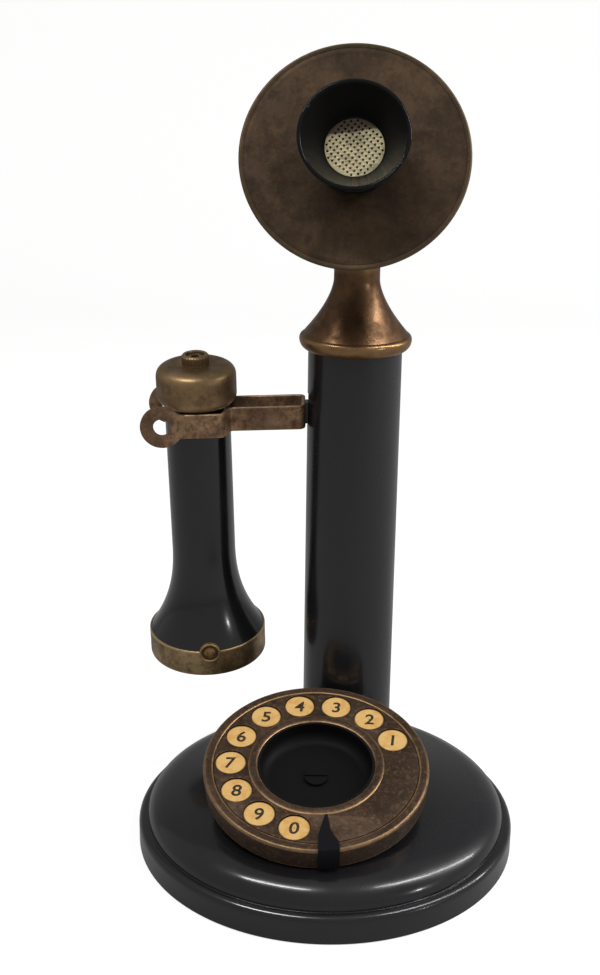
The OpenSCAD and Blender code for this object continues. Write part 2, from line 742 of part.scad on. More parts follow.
module dial_screws() {
    color("#8a8172") dial_place() {
        for (a = case_screw_angles) translate(concat(polar(case_screw_circle_r, a), [-dial_band + case_floor_t]))
            screw(1.08, case_floor_t + 5, 2, 1);
        for (a = frame_screw_angles) translate(concat(polar(frame_screw_circle_r, a), [frame_z - frame_t]))
            mirror([0, 0, 1]) screw(0.78, frame_t + case_floor_t, 1.5, 0.7);
    }
}

// ---------------------------------------------------------------- hook

module hook_fork() {
    arm = [[eyelet_x, fork_in], [jog_far_x, fork_in], [jog_near_x, arm_gap / 2], [web_x - eps, arm_gap / 2],
           [web_x - eps, arm_out], [jog_near_x + jog_shift, arm_out], [jog_far_x + jog_shift, fork_out], [eyelet_x, fork_out]];
    color("#6d4a2c") fork_place() difference() {
        union() {
            translate([web_x - strip_t, -arm_out, -strip_h / 2]) cube([strip_t, 2 * arm_out, strip_h]);
            for (s = [-1, 1]) scale([1, s, 1]) {
                translate([0, 0, -strip_h / 2]) linear_extrude(height = strip_h) polygon(arm);
                translate([eyelet_x, fork_in, 0]) rotate([-90, 0, 0]) cylinder(r = eyelet_r, h = strip_t);
            }
        }
        for (s = [-1, 1]) scale([1, s, 1])
            translate([eyelet_x, 0, 0]) rotate([-90, 0, 0]) cylinder(r = eyelet_hole_r, h = fork_out + 5);
    }
}

module hook_lever() {
    color("#18171a") hook_place() difference() {
        union() {
            translate([web_x, -lever_w / 2, -lever_h / 2]) cube([-web_x + lever_tail_x, lever_w, lever_h]);
            translate([-2, -lever_w / 2, -12]) cube([4, lever_w, 12]);
            rotate([-90, 0, 0]) translate([0, 0, -lever_w / 2]) cylinder(r = lever_h / 2 + 0.8, h = lever_w);
        }
        rotate([-90, 0, 0]) translate([0, 0, -10]) cylinder(r = hook_pin_r + run_fit, h = 20);
    }
}

module hook_pin() {
    half = cheek_gap / 2 + cheek_t;
    color("#a9a39a") switch_place() rotate([-90, 0, 0]) translate([0, 0, -half]) cylinder(r = hook_pin_r, h = 2 * half);
}

module hook_bracket() {
    color("#8d7a52") switch_place() difference() {
        union() {
            for (s = [-1, 1]) scale([1, s, 1])
                translate([3.5 - bracket_back, cheek_gap / 2, bracket_low]) cube([2 * bracket_back - 3.5, cheek_t, spring_top + 1.4 - bracket_low]);
            translate([bracket_back - 1.4, -cheek_gap / 2 - eps, bracket_low]) cube([1.4, cheek_gap + 2 * eps, -bracket_low - 8]);
            translate([spring_x - 3.4, -cheek_gap / 2 - eps, spring_top]) cube([7, cheek_gap + 2 * eps, 1.4]);
            for (z = bracket_screw_z) translate([bracket_screw_x, cheek_gap / 2 + eps, z]) rotate([-90, 0, 0])
                cylinder(r = 2.8, h = sqrt(pow(stem_in_r, 2) - pow(bracket_screw_x + 2.8, 2)) - cheek_gap / 2 - 0.1);
        }
        rotate([-90, 0, 0]) translate([0, 0, -20]) cylinder(r = hook_pin_r + 0.01, h = 40);
        for (z = bracket_screw_z) translate([bracket_screw_x, cheek_gap / 2 - 1, z]) rotate([-90, 0, 0]) cylinder(r = 1.3, h = 20);
    }
}

module bracket_screws() {
    flat_y = sqrt(pow(stem_r, 2) - pow(bracket_screw_x - 2.4, 2)) + 0.02;
    color("#8a8172") switch_place() for (z = bracket_screw_z)
        translate([bracket_screw_x, flat_y, z]) rotate([-90, 0, 0]) screw(1.28, 12, 2.4, 1.1);
}

module contact_springs() {
    color("#c8a86a") switch_place() for (x = blade_x)
        translate([x - blade_t / 2, -blade_w / 2, bracket_low]) cube([blade_t, blade_w, -bracket_low - 8.5]);
}

module spring_insulators() {
    low = blade_x[2] - 1.7;
    high = blade_x[0] + 1.7;
    color("#33231a") switch_place() difference() {
        translate([low, -cheek_gap / 2, bracket_low]) cube([high - low, cheek_gap, 7]);
        for (x = blade_x) translate([x - blade_t / 2 - 0.02, -blade_w / 2 - 0.02, bracket_low - 1])
            cube([blade_t + 0.04, blade_w + 0.04, 10]);
    }
}

// wire carried round a helix, with six sides
module hook_spring() {
    turns = 6;
    per_turn = 14;
    low = lever_h / 2 + spring_wire_r + (spring_x + spring_r) * tan(hook_droop) + 0.1;
    high = spring_top - spring_wire_r - 0.05;
    count = turns * per_turn;
    points = [for (i = [0 : count], k = [0 : 5])
        let (a = 360 * i / per_turn, r = spring_r + spring_wire_r * cos(60 * k))
        [r * cos(a), r * sin(a), low + (high - low) * i / count + spring_wire_r * sin(60 * k)]];
    faces = concat(
        [[5, 4, 3, 2, 1, 0]],
        [for (i = [0 : count - 1], k = [0 : 5]) let (n = (k + 1) % 6)
            [6 * i + k, 6 * i + n, 6 * (i + 1) + n, 6 * (i + 1) + k]],
        [[for (k = [0 : 5]) 6 * count + k]]);
    color("#9ba0a5") switch_place() translate([spring_x, 0, 0]) polyhedron(points, faces);
}

// ---------------------------------------------------------------- head

neck_drop = bead_rise + 0.8;           // depth of the collar's spigot shoulder
module neck_collar() {
    top_z = pivot_rise - cheek_r - 1;
    flare = [for (i = [0 : 12]) let (t = i / 12)
        [neck_r + (flare_r - neck_r) * pow(1 - t, flare_power), bead_half + 2 + (flare_h - bead_half - 2) * t]];
    profile = concat(
        [[neck_bore_r, -neck_drop - collar_spigot], [stem_in_r - seat_gap, -neck_drop - collar_spigot],
         [stem_in_r - seat_gap, stem_top - bead_z], [stem_r + 0.3, stem_top - bead_z], [stem_r + 0.3, 0.2 - bead_low]],
        arc(stem_r, 0, bead_out, bead_low, -75, 0, 7),
        arc(bead_r - bead_half, 0, bead_half, bead_half, 10, 80, 7),
        flare,
        [[neck_r, top_z], [neck_bore_r, top_z]]);
    color("#8a5f33") difference() {
        union() {
            translate([stem_x, stem_y, bead_z]) rotate_extrude() polygon(profile);
            pivot_place() for (s = [-1, 1]) scale([s, 1, 1]) translate([head_lug_t / 2 + 0.15, 0, 0]) {
                rotate([0, 90, 0]) cylinder(r = cheek_r, h = head_cheek_t);
                translate([0, -cheek_r, -cheek_r - 1.5]) cube([head_cheek_t, 2 * cheek_r, cheek_r + 1.5]);
            }
        }
        pivot_place() translate([-20, 0, 0]) rotate([0, 90, 0]) cylinder(r = head_pin_r + run_fit, h = 40);
    }
}

module head_screw() {
    half = head_lug_t / 2 + 0.15 + head_cheek_t;
    color("#77603c") pivot_place() rotate([0, 90, 0]) translate([0, 0, half])
        screw(head_pin_r, 2 * half + 4, 3.8, 2.2);
}

module head_nut() {
    half = head_lug_t / 2 + 0.15 + head_cheek_t;
    color("#77603c") pivot_place() translate([-half - 3, 0, 0]) rotate([0, 90, 0]) difference() {
        union() {
            cylinder(r = 3.9, h = 3);
            for (a = [0 : 30 : 330]) rotate(a) translate([3.9, 0, 0]) cylinder(r = 0.5, h = 3, $fn = 16);
        }
        translate([0, 0, -1]) cylinder(r = head_pin_r + 0.02, h = 6);
    }
}

module transmitter_cup() {
    outer = concat(
        [[cup_flange_r, -plate_t], [cup_flange_r, -plate_t - 2], [cup_r, -plate_t - 2]],
        arc(cup_back_r - cup_round, cup_back + cup_round, cup_r - cup_back_r + cup_round, cup_round, 0, -90, 10),
        [[0, cup_back]]);
    inner = concat(
        [[0, cup_back + cup_wall]],
        arc(cup_back_r - cup_round, cup_back + cup_round, cup_r - cup_back_r + cup_round - cup_wall, cup_round - cup_wall, -90, 0, 10),
        [[cup_r - cup_wall, -plate_t]]);
    color("#7b5630") difference() {
        union() {
            head_place() rotate_extrude() polygon(concat(outer, inner));
            tilt_place() translate([-head_lug_t / 2, 0, 0]) rotate([0, 90, 0]) cylinder(r = cheek_r - 0.6, h = head_lug_t);
            tilt_place() difference() {
                translate([-head_lug_t / 2, 0, 0.6 - cheek_r])
                    cube([head_lug_t, head_drop - 8, head_back + cup_back + cheek_r + 0.4]);
                translate([-10, -1, 0]) mirror([0, 0, 1]) rotate([32, 0, 0]) translate([0, -20, 3.2]) cube([20, 60, 20]);
            }
        }
        tilt_place() translate([-20, 0, 0]) rotate([0, 90, 0]) cylinder(r = head_pin_r + run_fit, h = 40);
        head_place() for (a = face_screw_angles) translate(concat(polar(face_screw_circle_r, a), [-plate_t - 5]))
            cylinder(r = face_screw_r + screw_gap, h = 8);
    }
}

module faceplate() {
    edge = 0.7;
    profile = concat(
        [[face_hole_r, -plate_t], [plate_r - edge, -plate_t]],
        arc(plate_r - edge, -edge, edge, edge, 0, 90, 4),
        [[plate_r - 1.6, 0], [plate_r - 2.2, -0.35], [face_hole_r, -0.35]]);
    color("#5a4024") difference() {
        head_place() rotate_extrude() polygon(profile);
        head_place() for (a = face_screw_angles) translate(concat(polar(face_screw_circle_r, a), [-plate_t - 1]))
            cylinder(r = face_screw_r, h = 2.2);
    }
}

// flared cup: a screwed root, a waist and a bell with a thin rolled lip
function bell_out(t) = mouth_base_r + (mouth_r - mouth_base_r) * pow(t, 1.5);
module mouthpiece() {
    lip = mouth_lip_t / 2;
    root_r = face_hole_r - seat_gap;
    bore_r = grille_r - 1.6;
    seat_r = grille_r + seat_gap;
    outer = concat(
        [[root_r, -plate_t - 1.5], [root_r, -0.35], [mouth_base_r + 1.4, -0.35], [mouth_base_r + 1.4, 1.6]],
        [for (i = [0 : 8]) let (t = i / 8) [bell_out(t), 2.2 + (mouth_l - lip - 2.2) * t]]);
    rim = arc(mouth_r - lip, mouth_l - lip, lip, lip, 0, 180, 6);
    inner = [for (i = [8 : -1 : 0]) let (t = i / 8)
        [seat_r + (mouth_r - 2 * lip - seat_r) * pow(t, 0.8), grille_out + (mouth_l - lip - grille_out) * t]];
    color("#0d0d10") head_place() rotate_extrude()
        polygon(concat(outer, rim, inner, [[seat_r, grille_out - 0.9], [bore_r, grille_out - 0.9], [bore_r, -plate_t - 1.5]]));
}

module mouthpiece_grille() {
    color("#d8cfa6") head_place() translate([0, 0, grille_out - 0.9]) cylinder(r = grille_r, h = 0.8);
}

module transmitter_diaphragm() {
    color("#9c9c98") head_place() translate([0, 0, -plate_t - 2.6]) cylinder(r = cup_r - cup_wall - 0.1, h = 0.5);
}

module carbon_button() {
    color("#8b6b35") head_place() translate([0, 0, -plate_t - 2.65]) mirror([0, 0, 1]) {
        cylinder(r = 2, h = 1.8);
        translate([0, 0, 1.75]) cylinder(r = button_r, h = 7);
    }
}

module transmitter_bridge() {
    bar_z = -plate_t - 14.5;
    color("#7a7468") head_place() {
        translate([-cup_r + cup_wall + 1.6, -bridge_w / 2, bar_z]) cube([2 * (cup_r - cup_wall - 1.6), bridge_w, 3]);
        for (s = [-1, 1]) translate([s * (cup_r - cup_wall - 4.6) - 2, -bridge_w / 2, bar_z]) cube([4, bridge_w, -plate_t - 2.65 - bar_z]);
    }
}

module faceplate_screws() {
    color("#8a8172") head_place() for (a = face_screw_angles)
        translate(concat(polar(face_screw_circle_r, a), [-plate_t - 2])) mirror([0, 0, 1]) screw(face_screw_r - 0.02, 3, 1.9, 1);
}

// ---------------------------------------------------------------- receiver

function barrel_at(t, wall) = barrel_r - wall + (ear_in_r - 0.1 - barrel_r) * pow(t, barrel_power);
barrel_top = cap_h - cap_wall - 0.3;
module receiver_barrel() {
    flare_z = -barrel_l + flare_l;
    outer = [for (i = [0 : 14]) let (t = i / 14) [barrel_at(t, 0), flare_z - flare_l * t]];
    inner = [for (i = [14 : -1 : 0]) let (t = i / 14) [barrel_at(t, barrel_wall), flare_z - flare_l * t]];
    color("#141417") receiver_place() difference() {
        rotate_extrude() polygon(concat(
            [[barrel_r, barrel_top]], outer, [[ear_in_r - 0.1, barrel_end], [ear_in_r - 0.1 - barrel_wall, barrel_end]],
            inner, [[barrel_r - barrel_wall, barrel_top]]));
        rotate(lug_angle) translate([ear_in_r - 5, 0, lug_z]) rotate([0, 90, 0]) cylinder(r = lug_pin_r, h = 10);
    }
}

module receiver_cap() {
    low_start = -acos((barrel_r + seat_gap - cap_r + cap_low_round) / cap_low_round);
    color("#776344") receiver_place() rotate_extrude() polygon(concat(
        arc(cap_r - cap_low_round, cap_low_round, cap_low_round, cap_low_round, low_start, 0, 7),
        arc(cap_r - cap_top_run, cap_h - cap_top_round, cap_top_run, cap_top_round, 0, 90, 9),
        [[knob_bore_r, cap_h], [knob_bore_r, cap_h - cap_wall], [barrel_r + seat_gap, cap_h - cap_wall]]));
}

module receiver_knob() {
    color("#5f4d33") receiver_place() translate([0, 0, cap_h]) difference() {
        union() {
            cylinder(r = knob_r - 0.5, h = knob_h);
            for (a = [0 : 20 : 340]) rotate(a) translate([knob_r - 0.75, -0.5, 0.3]) cube([0.75, 1, knob_h - 0.6]);
        }
        translate([0, 0, knob_h - 0.8]) cylinder(r = knob_r - 1.5, h = 2);
        translate([0, 0, -1]) cylinder(r = knob_bore_r, h = knob_h + 2);
    }
}

module ear_ring() {
    color("#6b5433") receiver_place() difference() {
        rotate_extrude() polygon([[ear_in_r, -barrel_l], [ear_r - 0.3, -barrel_l], [ear_r, -barrel_l - 0.3],
            [ear_r, ear_ring_z + 1.6], [ear_r - 0.9, ear_ring_z], [ear_in_r - ear_lip, ear_ring_z],
            [ear_in_r - ear_lip, ear_ring_z + 0.8], [ear_in_r, ear_ring_z + 0.8]]);
        rotate(lug_angle) translate([ear_in_r - 5, 0, lug_z]) rotate([0, 90, 0]) cylinder(r = lug_pin_r + screw_gap, h = 10);
    }
}

module ear_cap() {
    low = ear_ring_z + 0.8;
    dish = 3;
    color("#101013") receiver_place() rotate_extrude() polygon([
        [ear_hole_r, ear_cap_top], [ear_in_r - 0.1, ear_cap_top], [ear_in_r - 0.1, low], [ear_in_r - ear_lip - 0.1, low],
        [ear_in_r - ear_lip - 0.1, ear_ring_z + 0.1], [ear_in_r - ear_lip - 2.4, ear_ring_z + 0.1],
        [ear_hole_r + 4, ear_ring_z + dish], [ear_hole_r, ear_ring_z + dish]]);
}

module receiver_diaphragm() {
    color("#8f8f8c") receiver_place() translate([0, 0, barrel_end - diaphragm_t + eps]) cylinder(r = ear_in_r - 0.3, h = diaphragm_t - 2 * eps);
}

magnet_low = barrel_end + 8;
module receiver_magnet() {
    color("#4d5156") receiver_place() {
        for (s = [-1, 1]) translate([s * 5 - 2, -4, magnet_low]) cube([4, 8, -20 - magnet_low]);
        translate([0, 0, -20 - eps]) ring(barrel_r - barrel_wall - seat_gap, knob_bore_r + 0.6, 4);
    }
}

module receiver_coils() {
    color("#8a3f24") receiver_place() for (s = [-1, 1]) translate([s * 5, 0, barrel_end + 1]) {
        cylinder(r = 1.6, h = 7);
        translate([0, 0, 1]) ring(3.4, 1.6, 5);
        cylinder(r = 3.7, h = 0.8);
        translate([0, 0, 6.2]) cylinder(r = 3.7, h = 0.8);
    }
}

module ring_lug() {
    color("#7a5a30") receiver_place() rotate(lug_angle) translate([ear_r + 0.02, 0, lug_z]) rotate([0, 90, 0]) {
        difference() {
            translate([-lug_rise, 0, 0]) cylinder(r = lug_r, h = lug_t);
            translate([-lug_rise, 0, lug_t - 0.5]) ring(lug_r - 0.7, 2.2, 2);
        }
        translate([0, 0, -3.2]) cylinder(r = lug_pin_r - 0.02, h = 3.3);
    }
}

base_dome();
base_plate();
felt_pad();
ballast_ring();
base_screws();
cord_bush();
terminal_block();
terminal_screws();
stem_socket();
stem_tube();
dial_pedestal();
dial_case();
number_plate();
number_discs();
finger_stop();
finger_wheel();
wheel_dish();
hub_screw();
dial_shaft();
main_gear();
mechanism_frame();
back_plate();
mainspring();
pinion_arbor();
impulse_cam();
governor_arbor();
governor_weights();
governor_drum();
impulse_springs();
impulse_block();
dial_screws();
hook_fork();
hook_lever();
hook_pin();
hook_bracket();
bracket_screws();
contact_springs();
spring_insulators();
hook_spring();
neck_collar();
head_screw();
head_nut();
transmitter_cup();
faceplate();
mouthpiece();
mouthpiece_grille();
transmitter_diaphragm();
carbon_button();
transmitter_bridge();
faceplate_screws();
receiver_barrel();
receiver_cap();
receiver_knob();
ear_ring();
ear_cap();
receiver_diaphragm();
receiver_magnet();
receiver_coils();
ring_lug();
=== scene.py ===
"""Upright candlestick telephone with a rotary dial: its looks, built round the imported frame."""

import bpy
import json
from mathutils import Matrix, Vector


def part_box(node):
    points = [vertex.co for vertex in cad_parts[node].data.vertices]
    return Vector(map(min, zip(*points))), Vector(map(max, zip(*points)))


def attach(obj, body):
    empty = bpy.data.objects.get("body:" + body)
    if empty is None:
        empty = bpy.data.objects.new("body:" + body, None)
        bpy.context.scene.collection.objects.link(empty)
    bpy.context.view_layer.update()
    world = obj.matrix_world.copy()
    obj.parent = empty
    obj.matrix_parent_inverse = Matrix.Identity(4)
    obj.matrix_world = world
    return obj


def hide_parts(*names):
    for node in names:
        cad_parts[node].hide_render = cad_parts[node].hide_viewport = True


bl_info = {
    "name": "Candlestick Telephone",
    "version": (1, 0, 0),
    "blender": (4, 5, 0),
    "location": "View3D > Sidebar > Telephone",
    "description": "Builds the finished surfaces of a candlestick telephone round its packed frame",
    "category": "Add Mesh",
}

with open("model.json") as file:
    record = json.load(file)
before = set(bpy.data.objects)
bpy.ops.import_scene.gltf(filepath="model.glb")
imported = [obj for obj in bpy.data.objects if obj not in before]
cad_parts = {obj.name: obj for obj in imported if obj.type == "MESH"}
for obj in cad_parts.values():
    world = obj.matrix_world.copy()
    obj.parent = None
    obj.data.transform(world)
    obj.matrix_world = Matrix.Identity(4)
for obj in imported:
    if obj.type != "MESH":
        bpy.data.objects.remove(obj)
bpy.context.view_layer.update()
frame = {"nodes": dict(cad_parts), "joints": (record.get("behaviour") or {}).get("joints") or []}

import json
import math

import bmesh
import bpy
import numpy as np
from bpy.props import FloatProperty, FloatVectorProperty, IntProperty, PointerProperty
from mathutils import Matrix, Vector

# Lengths are in millimetres and angles in degrees, until a mesh is made in metres.
MM = 0.001
FIT = 0.05  # gap between pieces that sit in each other
SHARP = 32  # edges that turn more than this stay crisp


# ---------------- places

def joint(name):
    """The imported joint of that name."""
    return next(j for j in frame["joints"] if j["name"] == name)


def at(point_mm, *turns):
    """4x4 place: a shift to a point in millimetres, then turns (degrees, axis letter) in order."""
    place = Matrix.Translation(Vector(point_mm) * MM)
    for degrees, axis in turns:
        place = place @ spin(degrees, axis)
    return place


def spin(degrees, axis="Z"):
    """4x4 turn about an axis letter."""
    return Matrix.Rotation(math.radians(degrees), 4, axis)


def joint_point_mm(name):
    """A hinge's point in millimetres."""
    return [c / MM for c in joint(name)["pos_m"]]


DIAL_POINT = joint_point_mm("dial_turn")
DIAL_TILT = math.degrees(math.atan2(-joint("dial_turn")["axis"][1], joint("dial_turn")["axis"][2]))
HOOK_POINT = joint_point_mm("hook_switch")
PIVOT_POINT = joint_point_mm("head_tilt")
HEAD_TURN = math.degrees(math.atan2(joint("head_tilt")["axis"][1], joint("head_tilt")["axis"][0]))
HEAD_ELEVATION = 25.0
HEAD_UP = 22.3
HEAD_OUT = 32.4
HEAD_SIDE = -1.4
HOOK_DROOP = 2.6
HOOK_ROLL = 3.0
RECEIVER_REACH = 58.6
RECEIVER_LEAN = 5.9
RECEIVER_SIDE_LEAN = 1.3

DIAL = at(DIAL_POINT, (DIAL_TILT, "X"))
FORK = at(HOOK_POINT, (-HOOK_DROOP, "Y"), (HOOK_ROLL, "X"))
STEM = at([HOOK_POINT[0], HOOK_POINT[1], 0])
PIVOT = at(PIVOT_POINT, (HEAD_TURN, "Z"))
HEAD = PIVOT @ spin(90 - HEAD_ELEVATION, "X") @ at([HEAD_SIDE, HEAD_UP, HEAD_OUT])


# ---------------- sizes and colours

def length(name, default_mm, note):
    """A length property whose default is given in millimetres."""
    return FloatProperty(name=name, description=note, default=default_mm * MM,
                         unit="LENGTH", subtype="DISTANCE")


def tint(name, default, note):
    """A colour property, linear red, green and blue."""
    return FloatVectorProperty(name=name, description=note, default=default,
                               subtype="COLOR", size=3, min=0, max=1)


class TelephoneSizes(bpy.types.PropertyGroup):
    """Sizes that a user would change"""
    foot_radius: length("Foot radius", 70.8, "Outer radius of the base's foot")
    foot_height: length("Foot height", 10.7, "Height of the foot above the table")
    dome_radius: length("Dome radius", 67.4, "Radius of the dome where it leaves the foot")
    stem_radius: length("Stem radius", 17.4, "Outer radius of the stem tube")
    dial_radius: length("Dial radius", 41.2, "Outer radius of the dial's case")
    plate_radius: length("Faceplate radius", 39.9, "Radius of the transmitter's faceplate")
    mouth_radius: length("Mouthpiece radius", 18.9, "Radius of the mouthpiece's rim")
    barrel_radius: length("Barrel radius", 12.3, "Radius of the receiver's barrel")
    ear_radius: length("Ear ring radius", 23.1, "Outer radius of the receiver's ear ring")
    grille_pitch: length("Grille pitch", 1.15, "Distance between rows of holes in the grille")
    segments: IntProperty(name="Segments", description="Steps round each turned piece",
                          default=160, min=48, max=256)


class TelephoneColours(bpy.types.PropertyGroup):
    """Colours that a user would change"""
    enamel: tint("Enamel", (0.0085, 0.0085, 0.0105), "Black enamel of the base and the stem")
    ebonite: tint("Ebonite", (0.008, 0.008, 0.009), "Black of the receiver and the mouthpiece")
    bronze: tint("Bronze", (0.096, 0.060, 0.040), "Dark bronze of the dial")
    bronze_wear: tint("Bronze wear", (0.72, 0.43, 0.19), "Bright metal on the dial's worn edges")
    plate: tint("Faceplate", (0.058, 0.035, 0.019), "Patinated brass of the faceplate")
    copper: tint("Collar", (0.165, 0.090, 0.045), "Worn copper brass of the collar")
    fork: tint("Fork", (0.300, 0.182, 0.102), "Rusty brown of the hook")
    cap: tint("Cap", (0.235, 0.150, 0.075), "Olive brass of the receiver's cap")
    band: tint("Ear ring", (0.32, 0.225, 0.115), "Worn brass of the ear ring")
    ivory: tint("Number disc", (0.76, 0.48, 0.175), "Amber cream of the number discs")
    digit: tint("Digit", (0.018, 0.012, 0.007), "Dark brown of the digits")
    grille: tint("Grille", (0.68, 0.59, 0.35), "Cream of the grille")


# ---------------- surfaces

def arc(cx, cz, rx, rz, start, end, count=12):
    """Ellipse arc: (cx + rx cos a, cz + rz sin a) for a from start to end in degrees."""
    a = np.radians(np.linspace(start, end, count))
    return np.column_stack([cx + rx * np.cos(a), cz + rz * np.sin(a)])


def corner(r, z, radius, start, count=8):
    """Quarter circle from its start angle on that rounds the outline's corner (r, z)."""
    middle = math.radians(start + 45)
    cx, cz = r - math.copysign(radius, math.cos(middle)), z - math.copysign(radius, math.sin(middle))
    return arc(cx, cz, radius, radius, start, start + 90, count)


def circle(radius, count=96, cx=0.0, cy=0.0):
    """Points round a circle."""
    return arc(cx, cy, radius, radius, 0, 360, count + 1)[:-1]


def join_outline(*parts):
    """One outline from points and arrays of points, with repeats dropped."""
    points = np.vstack([np.atleast_2d(np.asarray(part, float)) for part in parts])
    step = np.linalg.norm(points - np.roll(points, 1, axis=0), axis=1)
    return points[step > 1e-4]


def support(outline, margin):
    """The outline with more points near both ends of its long sides, each three times further in."""
    following = np.roll(outline, -1, axis=0)
    side = following - outline
    size = np.linalg.norm(side, axis=1)[:, None]
    reach = margin * 3.0 ** np.arange(4)
    part = side[:, None, :] * (reach / size)[:, :, None]
    near = outline[:, None, :] + part
    far = (following[:, None, :] - part)[:, ::-1]
    fits = size > 3 * reach
    keep = np.hstack([np.ones_like(size, bool), fits, fits[:, ::-1]])
    return np.concatenate([outline[:, None, :], near, far], axis=1)[keep]


def corner_wear(outline, spread):
    """Turning of a closed outline, summed under a bell of that width: + on corners, - in hollows."""
    before = outline - np.roll(outline, 1, axis=0)
    after = np.roll(outline, -1, axis=0) - outline
    turn = np.arctan2(before[:, 0] * after[:, 1] - before[:, 1] * after[:, 0], (before * after).sum(1))
    run = np.concatenate([[0], np.cumsum(np.linalg.norm(after, axis=1))])
    total, run = run[-1], run[:-1]
    gap = np.abs(run[:, None] - run[None, :])
    gap = np.minimum(gap, total - gap)
    wear = (np.exp(-(gap / spread) ** 2) * turn[None, :]).sum(1) / (math.pi / 2)
    return np.clip(wear * np.sign(turn.sum()), -1, 1)


def add_object(name, data):
    """A new object for that data, linked to the scene."""
    made = bpy.data.objects.new(name, data)
    bpy.context.scene.collection.objects.link(made)
    return made


def evaluated_mesh(piece):
    """A new mesh of the piece with its curve filled or its modifiers applied."""
    graph = bpy.context.evaluated_depsgraph_get()
    return bpy.data.meshes.new_from_object(piece.evaluated_get(graph))


def curve_mesh(curve):
    """The mesh of a filled curve or of text, which are then removed."""
    maker = add_object(curve.name, curve)
    mesh = evaluated_mesh(maker)
    bpy.data.objects.remove(maker)
    bpy.data.curves.remove(curve)
    return mesh


def soften(mesh, sharp=SHARP):
    """Smooth shading, with edges above an angle kept crisp."""
    mesh.shade_smooth()
    mesh.set_sharp_from_angle(angle=math.radians(sharp))


def close_mesh(mesh, sharp=SHARP):
    """Merges doubles, turns every face outwards and shades the mesh."""
    work = bmesh.new()
    work.from_mesh(mesh)
    bmesh.ops.remove_doubles(work, verts=work.verts, dist=1e-7)
    bmesh.ops.dissolve_degenerate(work, edges=work.edges, dist=1e-8)
    bmesh.ops.recalc_face_normals(work, faces=work.faces)
    work.to_mesh(mesh)
    work.free()
    soften(mesh, sharp)


def mesh_piece(name, points, faces, place=None, edge=None, sharp=SHARP):
    """A mesh object from arrays of points and four-sided faces, with its place in its mesh."""
    mesh = bpy.data.meshes.new(name)
    points = np.asarray(points, float).reshape(-1, 3) * MM
    faces = np.asarray(faces, np.int32).reshape(-1, 4)
    mesh.vertices.add(len(points))
    mesh.vertices.foreach_set("co", points.ravel())
    mesh.loops.add(faces.size)
    mesh.loops.foreach_set("vertex_index", faces.ravel())
    mesh.polygons.add(len(faces))
    mesh.polygons.foreach_set("loop_start", np.arange(0, faces.size, 4, dtype=np.int32))
    mesh.update(calc_edges=True)
    layer = mesh.attributes.new("edge", "FLOAT", "POINT")
    if edge is not None:
        layer.data.foreach_set("value", np.asarray(edge, np.float32).ravel())
    close_mesh(mesh, sharp)
    if place is not None:
        mesh.transform(place)
    return add_object(name, mesh)


def grid_faces(rows, columns, wrap_rows=True, wrap_columns=True):
    """Four-sided faces of a grid whose ends may close on themselves."""
    i = np.arange(rows if wrap_rows else rows - 1)
    j = np.arange(columns if wrap_columns else columns - 1)
    i, j = np.meshgrid(i, j, indexing="ij")
    ni, nj = (i + 1) % rows, (j + 1) % columns
    corners = [i * columns + j, ni * columns + j, ni * columns + nj, i * columns + nj]
    return np.stack(corners, axis=-1).reshape(-1, 4)


def turned(name, outline, place, segments, wear_spread=0.5, margin=0.12, ripple=None):
    """Turned piece: every outline point (r, z) goes to (r cos t, r sin t, z) for t round a circle.

    A ripple gives what is added to r, from r, z and t.
    """
    outline = support(outline, margin)
    t = np.linspace(0, 2 * math.pi, segments, endpoint=False)
    r, z = outline[:, :1], outline[:, 1:]
    radius = r + ripple(r, z, t) if ripple else r
    points = np.stack([radius * np.cos(t), radius * np.sin(t), np.repeat(z, segments, axis=1)], axis=-1)
    edge = np.repeat(corner_wear(outline, wear_spread)[:, None], segments, axis=1)
    return mesh_piece(name, points, grid_faces(len(outline), segments), place, edge)


def rounded_path(corners, radius, count=7):
    """Open path through corners, each turned on an arc of the circle that touches both its sides."""
    corners = np.asarray(corners, float)
    parts = [corners[:1]]
    for before, here, after in zip(corners[:-2], corners[1:-1], corners[2:]):
        a = (before - here) / np.linalg.norm(before - here)
        b = (after - here) / np.linalg.norm(after - here)
        half = math.acos(np.clip(a @ b, -1, 1)) / 2
        reach = radius / math.tan(half)
        middle = here + (a + b) / np.linalg.norm(a + b) * radius / math.sin(half)
        first, last = here + a * reach - middle, here + b * reach - middle
        angle = math.acos(np.clip(first @ last / radius ** 2, -1, 1))
        w = np.linspace(0, 1, count)[:, None]
        parts.append(middle + (np.sin((1 - w) * angle) * first + np.sin(w * angle) * last) / math.sin(angle))
    parts.append(corners[-1:])
    return np.vstack(parts)


def strip_along(path, thickness, high, cut, margin=0.2, wear_spread=0.4):
    """Flat strip on edge: a rectangle with cut corners, carried square to a level path."""
    ahead = np.gradient(path, axis=0)
    ahead /= np.linalg.norm(ahead, axis=1, keepdims=True)
    across = np.column_stack([-ahead[:, 1], ahead[:, 0]])
    h, v = thickness / 2, high / 2
    section = np.array([[-h, cut - v], [-h, v - cut], [cut - h, v], [h - cut, v],
                        [h, v - cut], [h, cut - v], [h - cut, -v], [cut - h, -v]])
    section = support(section, margin)
    xy = path[:, None, :] + across[:, None, :] * section[None, :, :1]
    z = np.repeat(section[None, :, 1:], len(path), axis=0)
    edge = np.repeat(corner_wear(section, wear_spread)[None, :], len(path), axis=0)
    return np.concatenate([xy, z], axis=-1), edge


def merge_into(name, pieces):
    """One object from several that share a finish."""
    first = pieces[0]
    with bpy.context.temp_override(active_object=first, selected_objects=pieces,
                                   selected_editable_objects=pieces):
        bpy.ops.object.join()
    first.name = name
    first.data.name = name
    return first


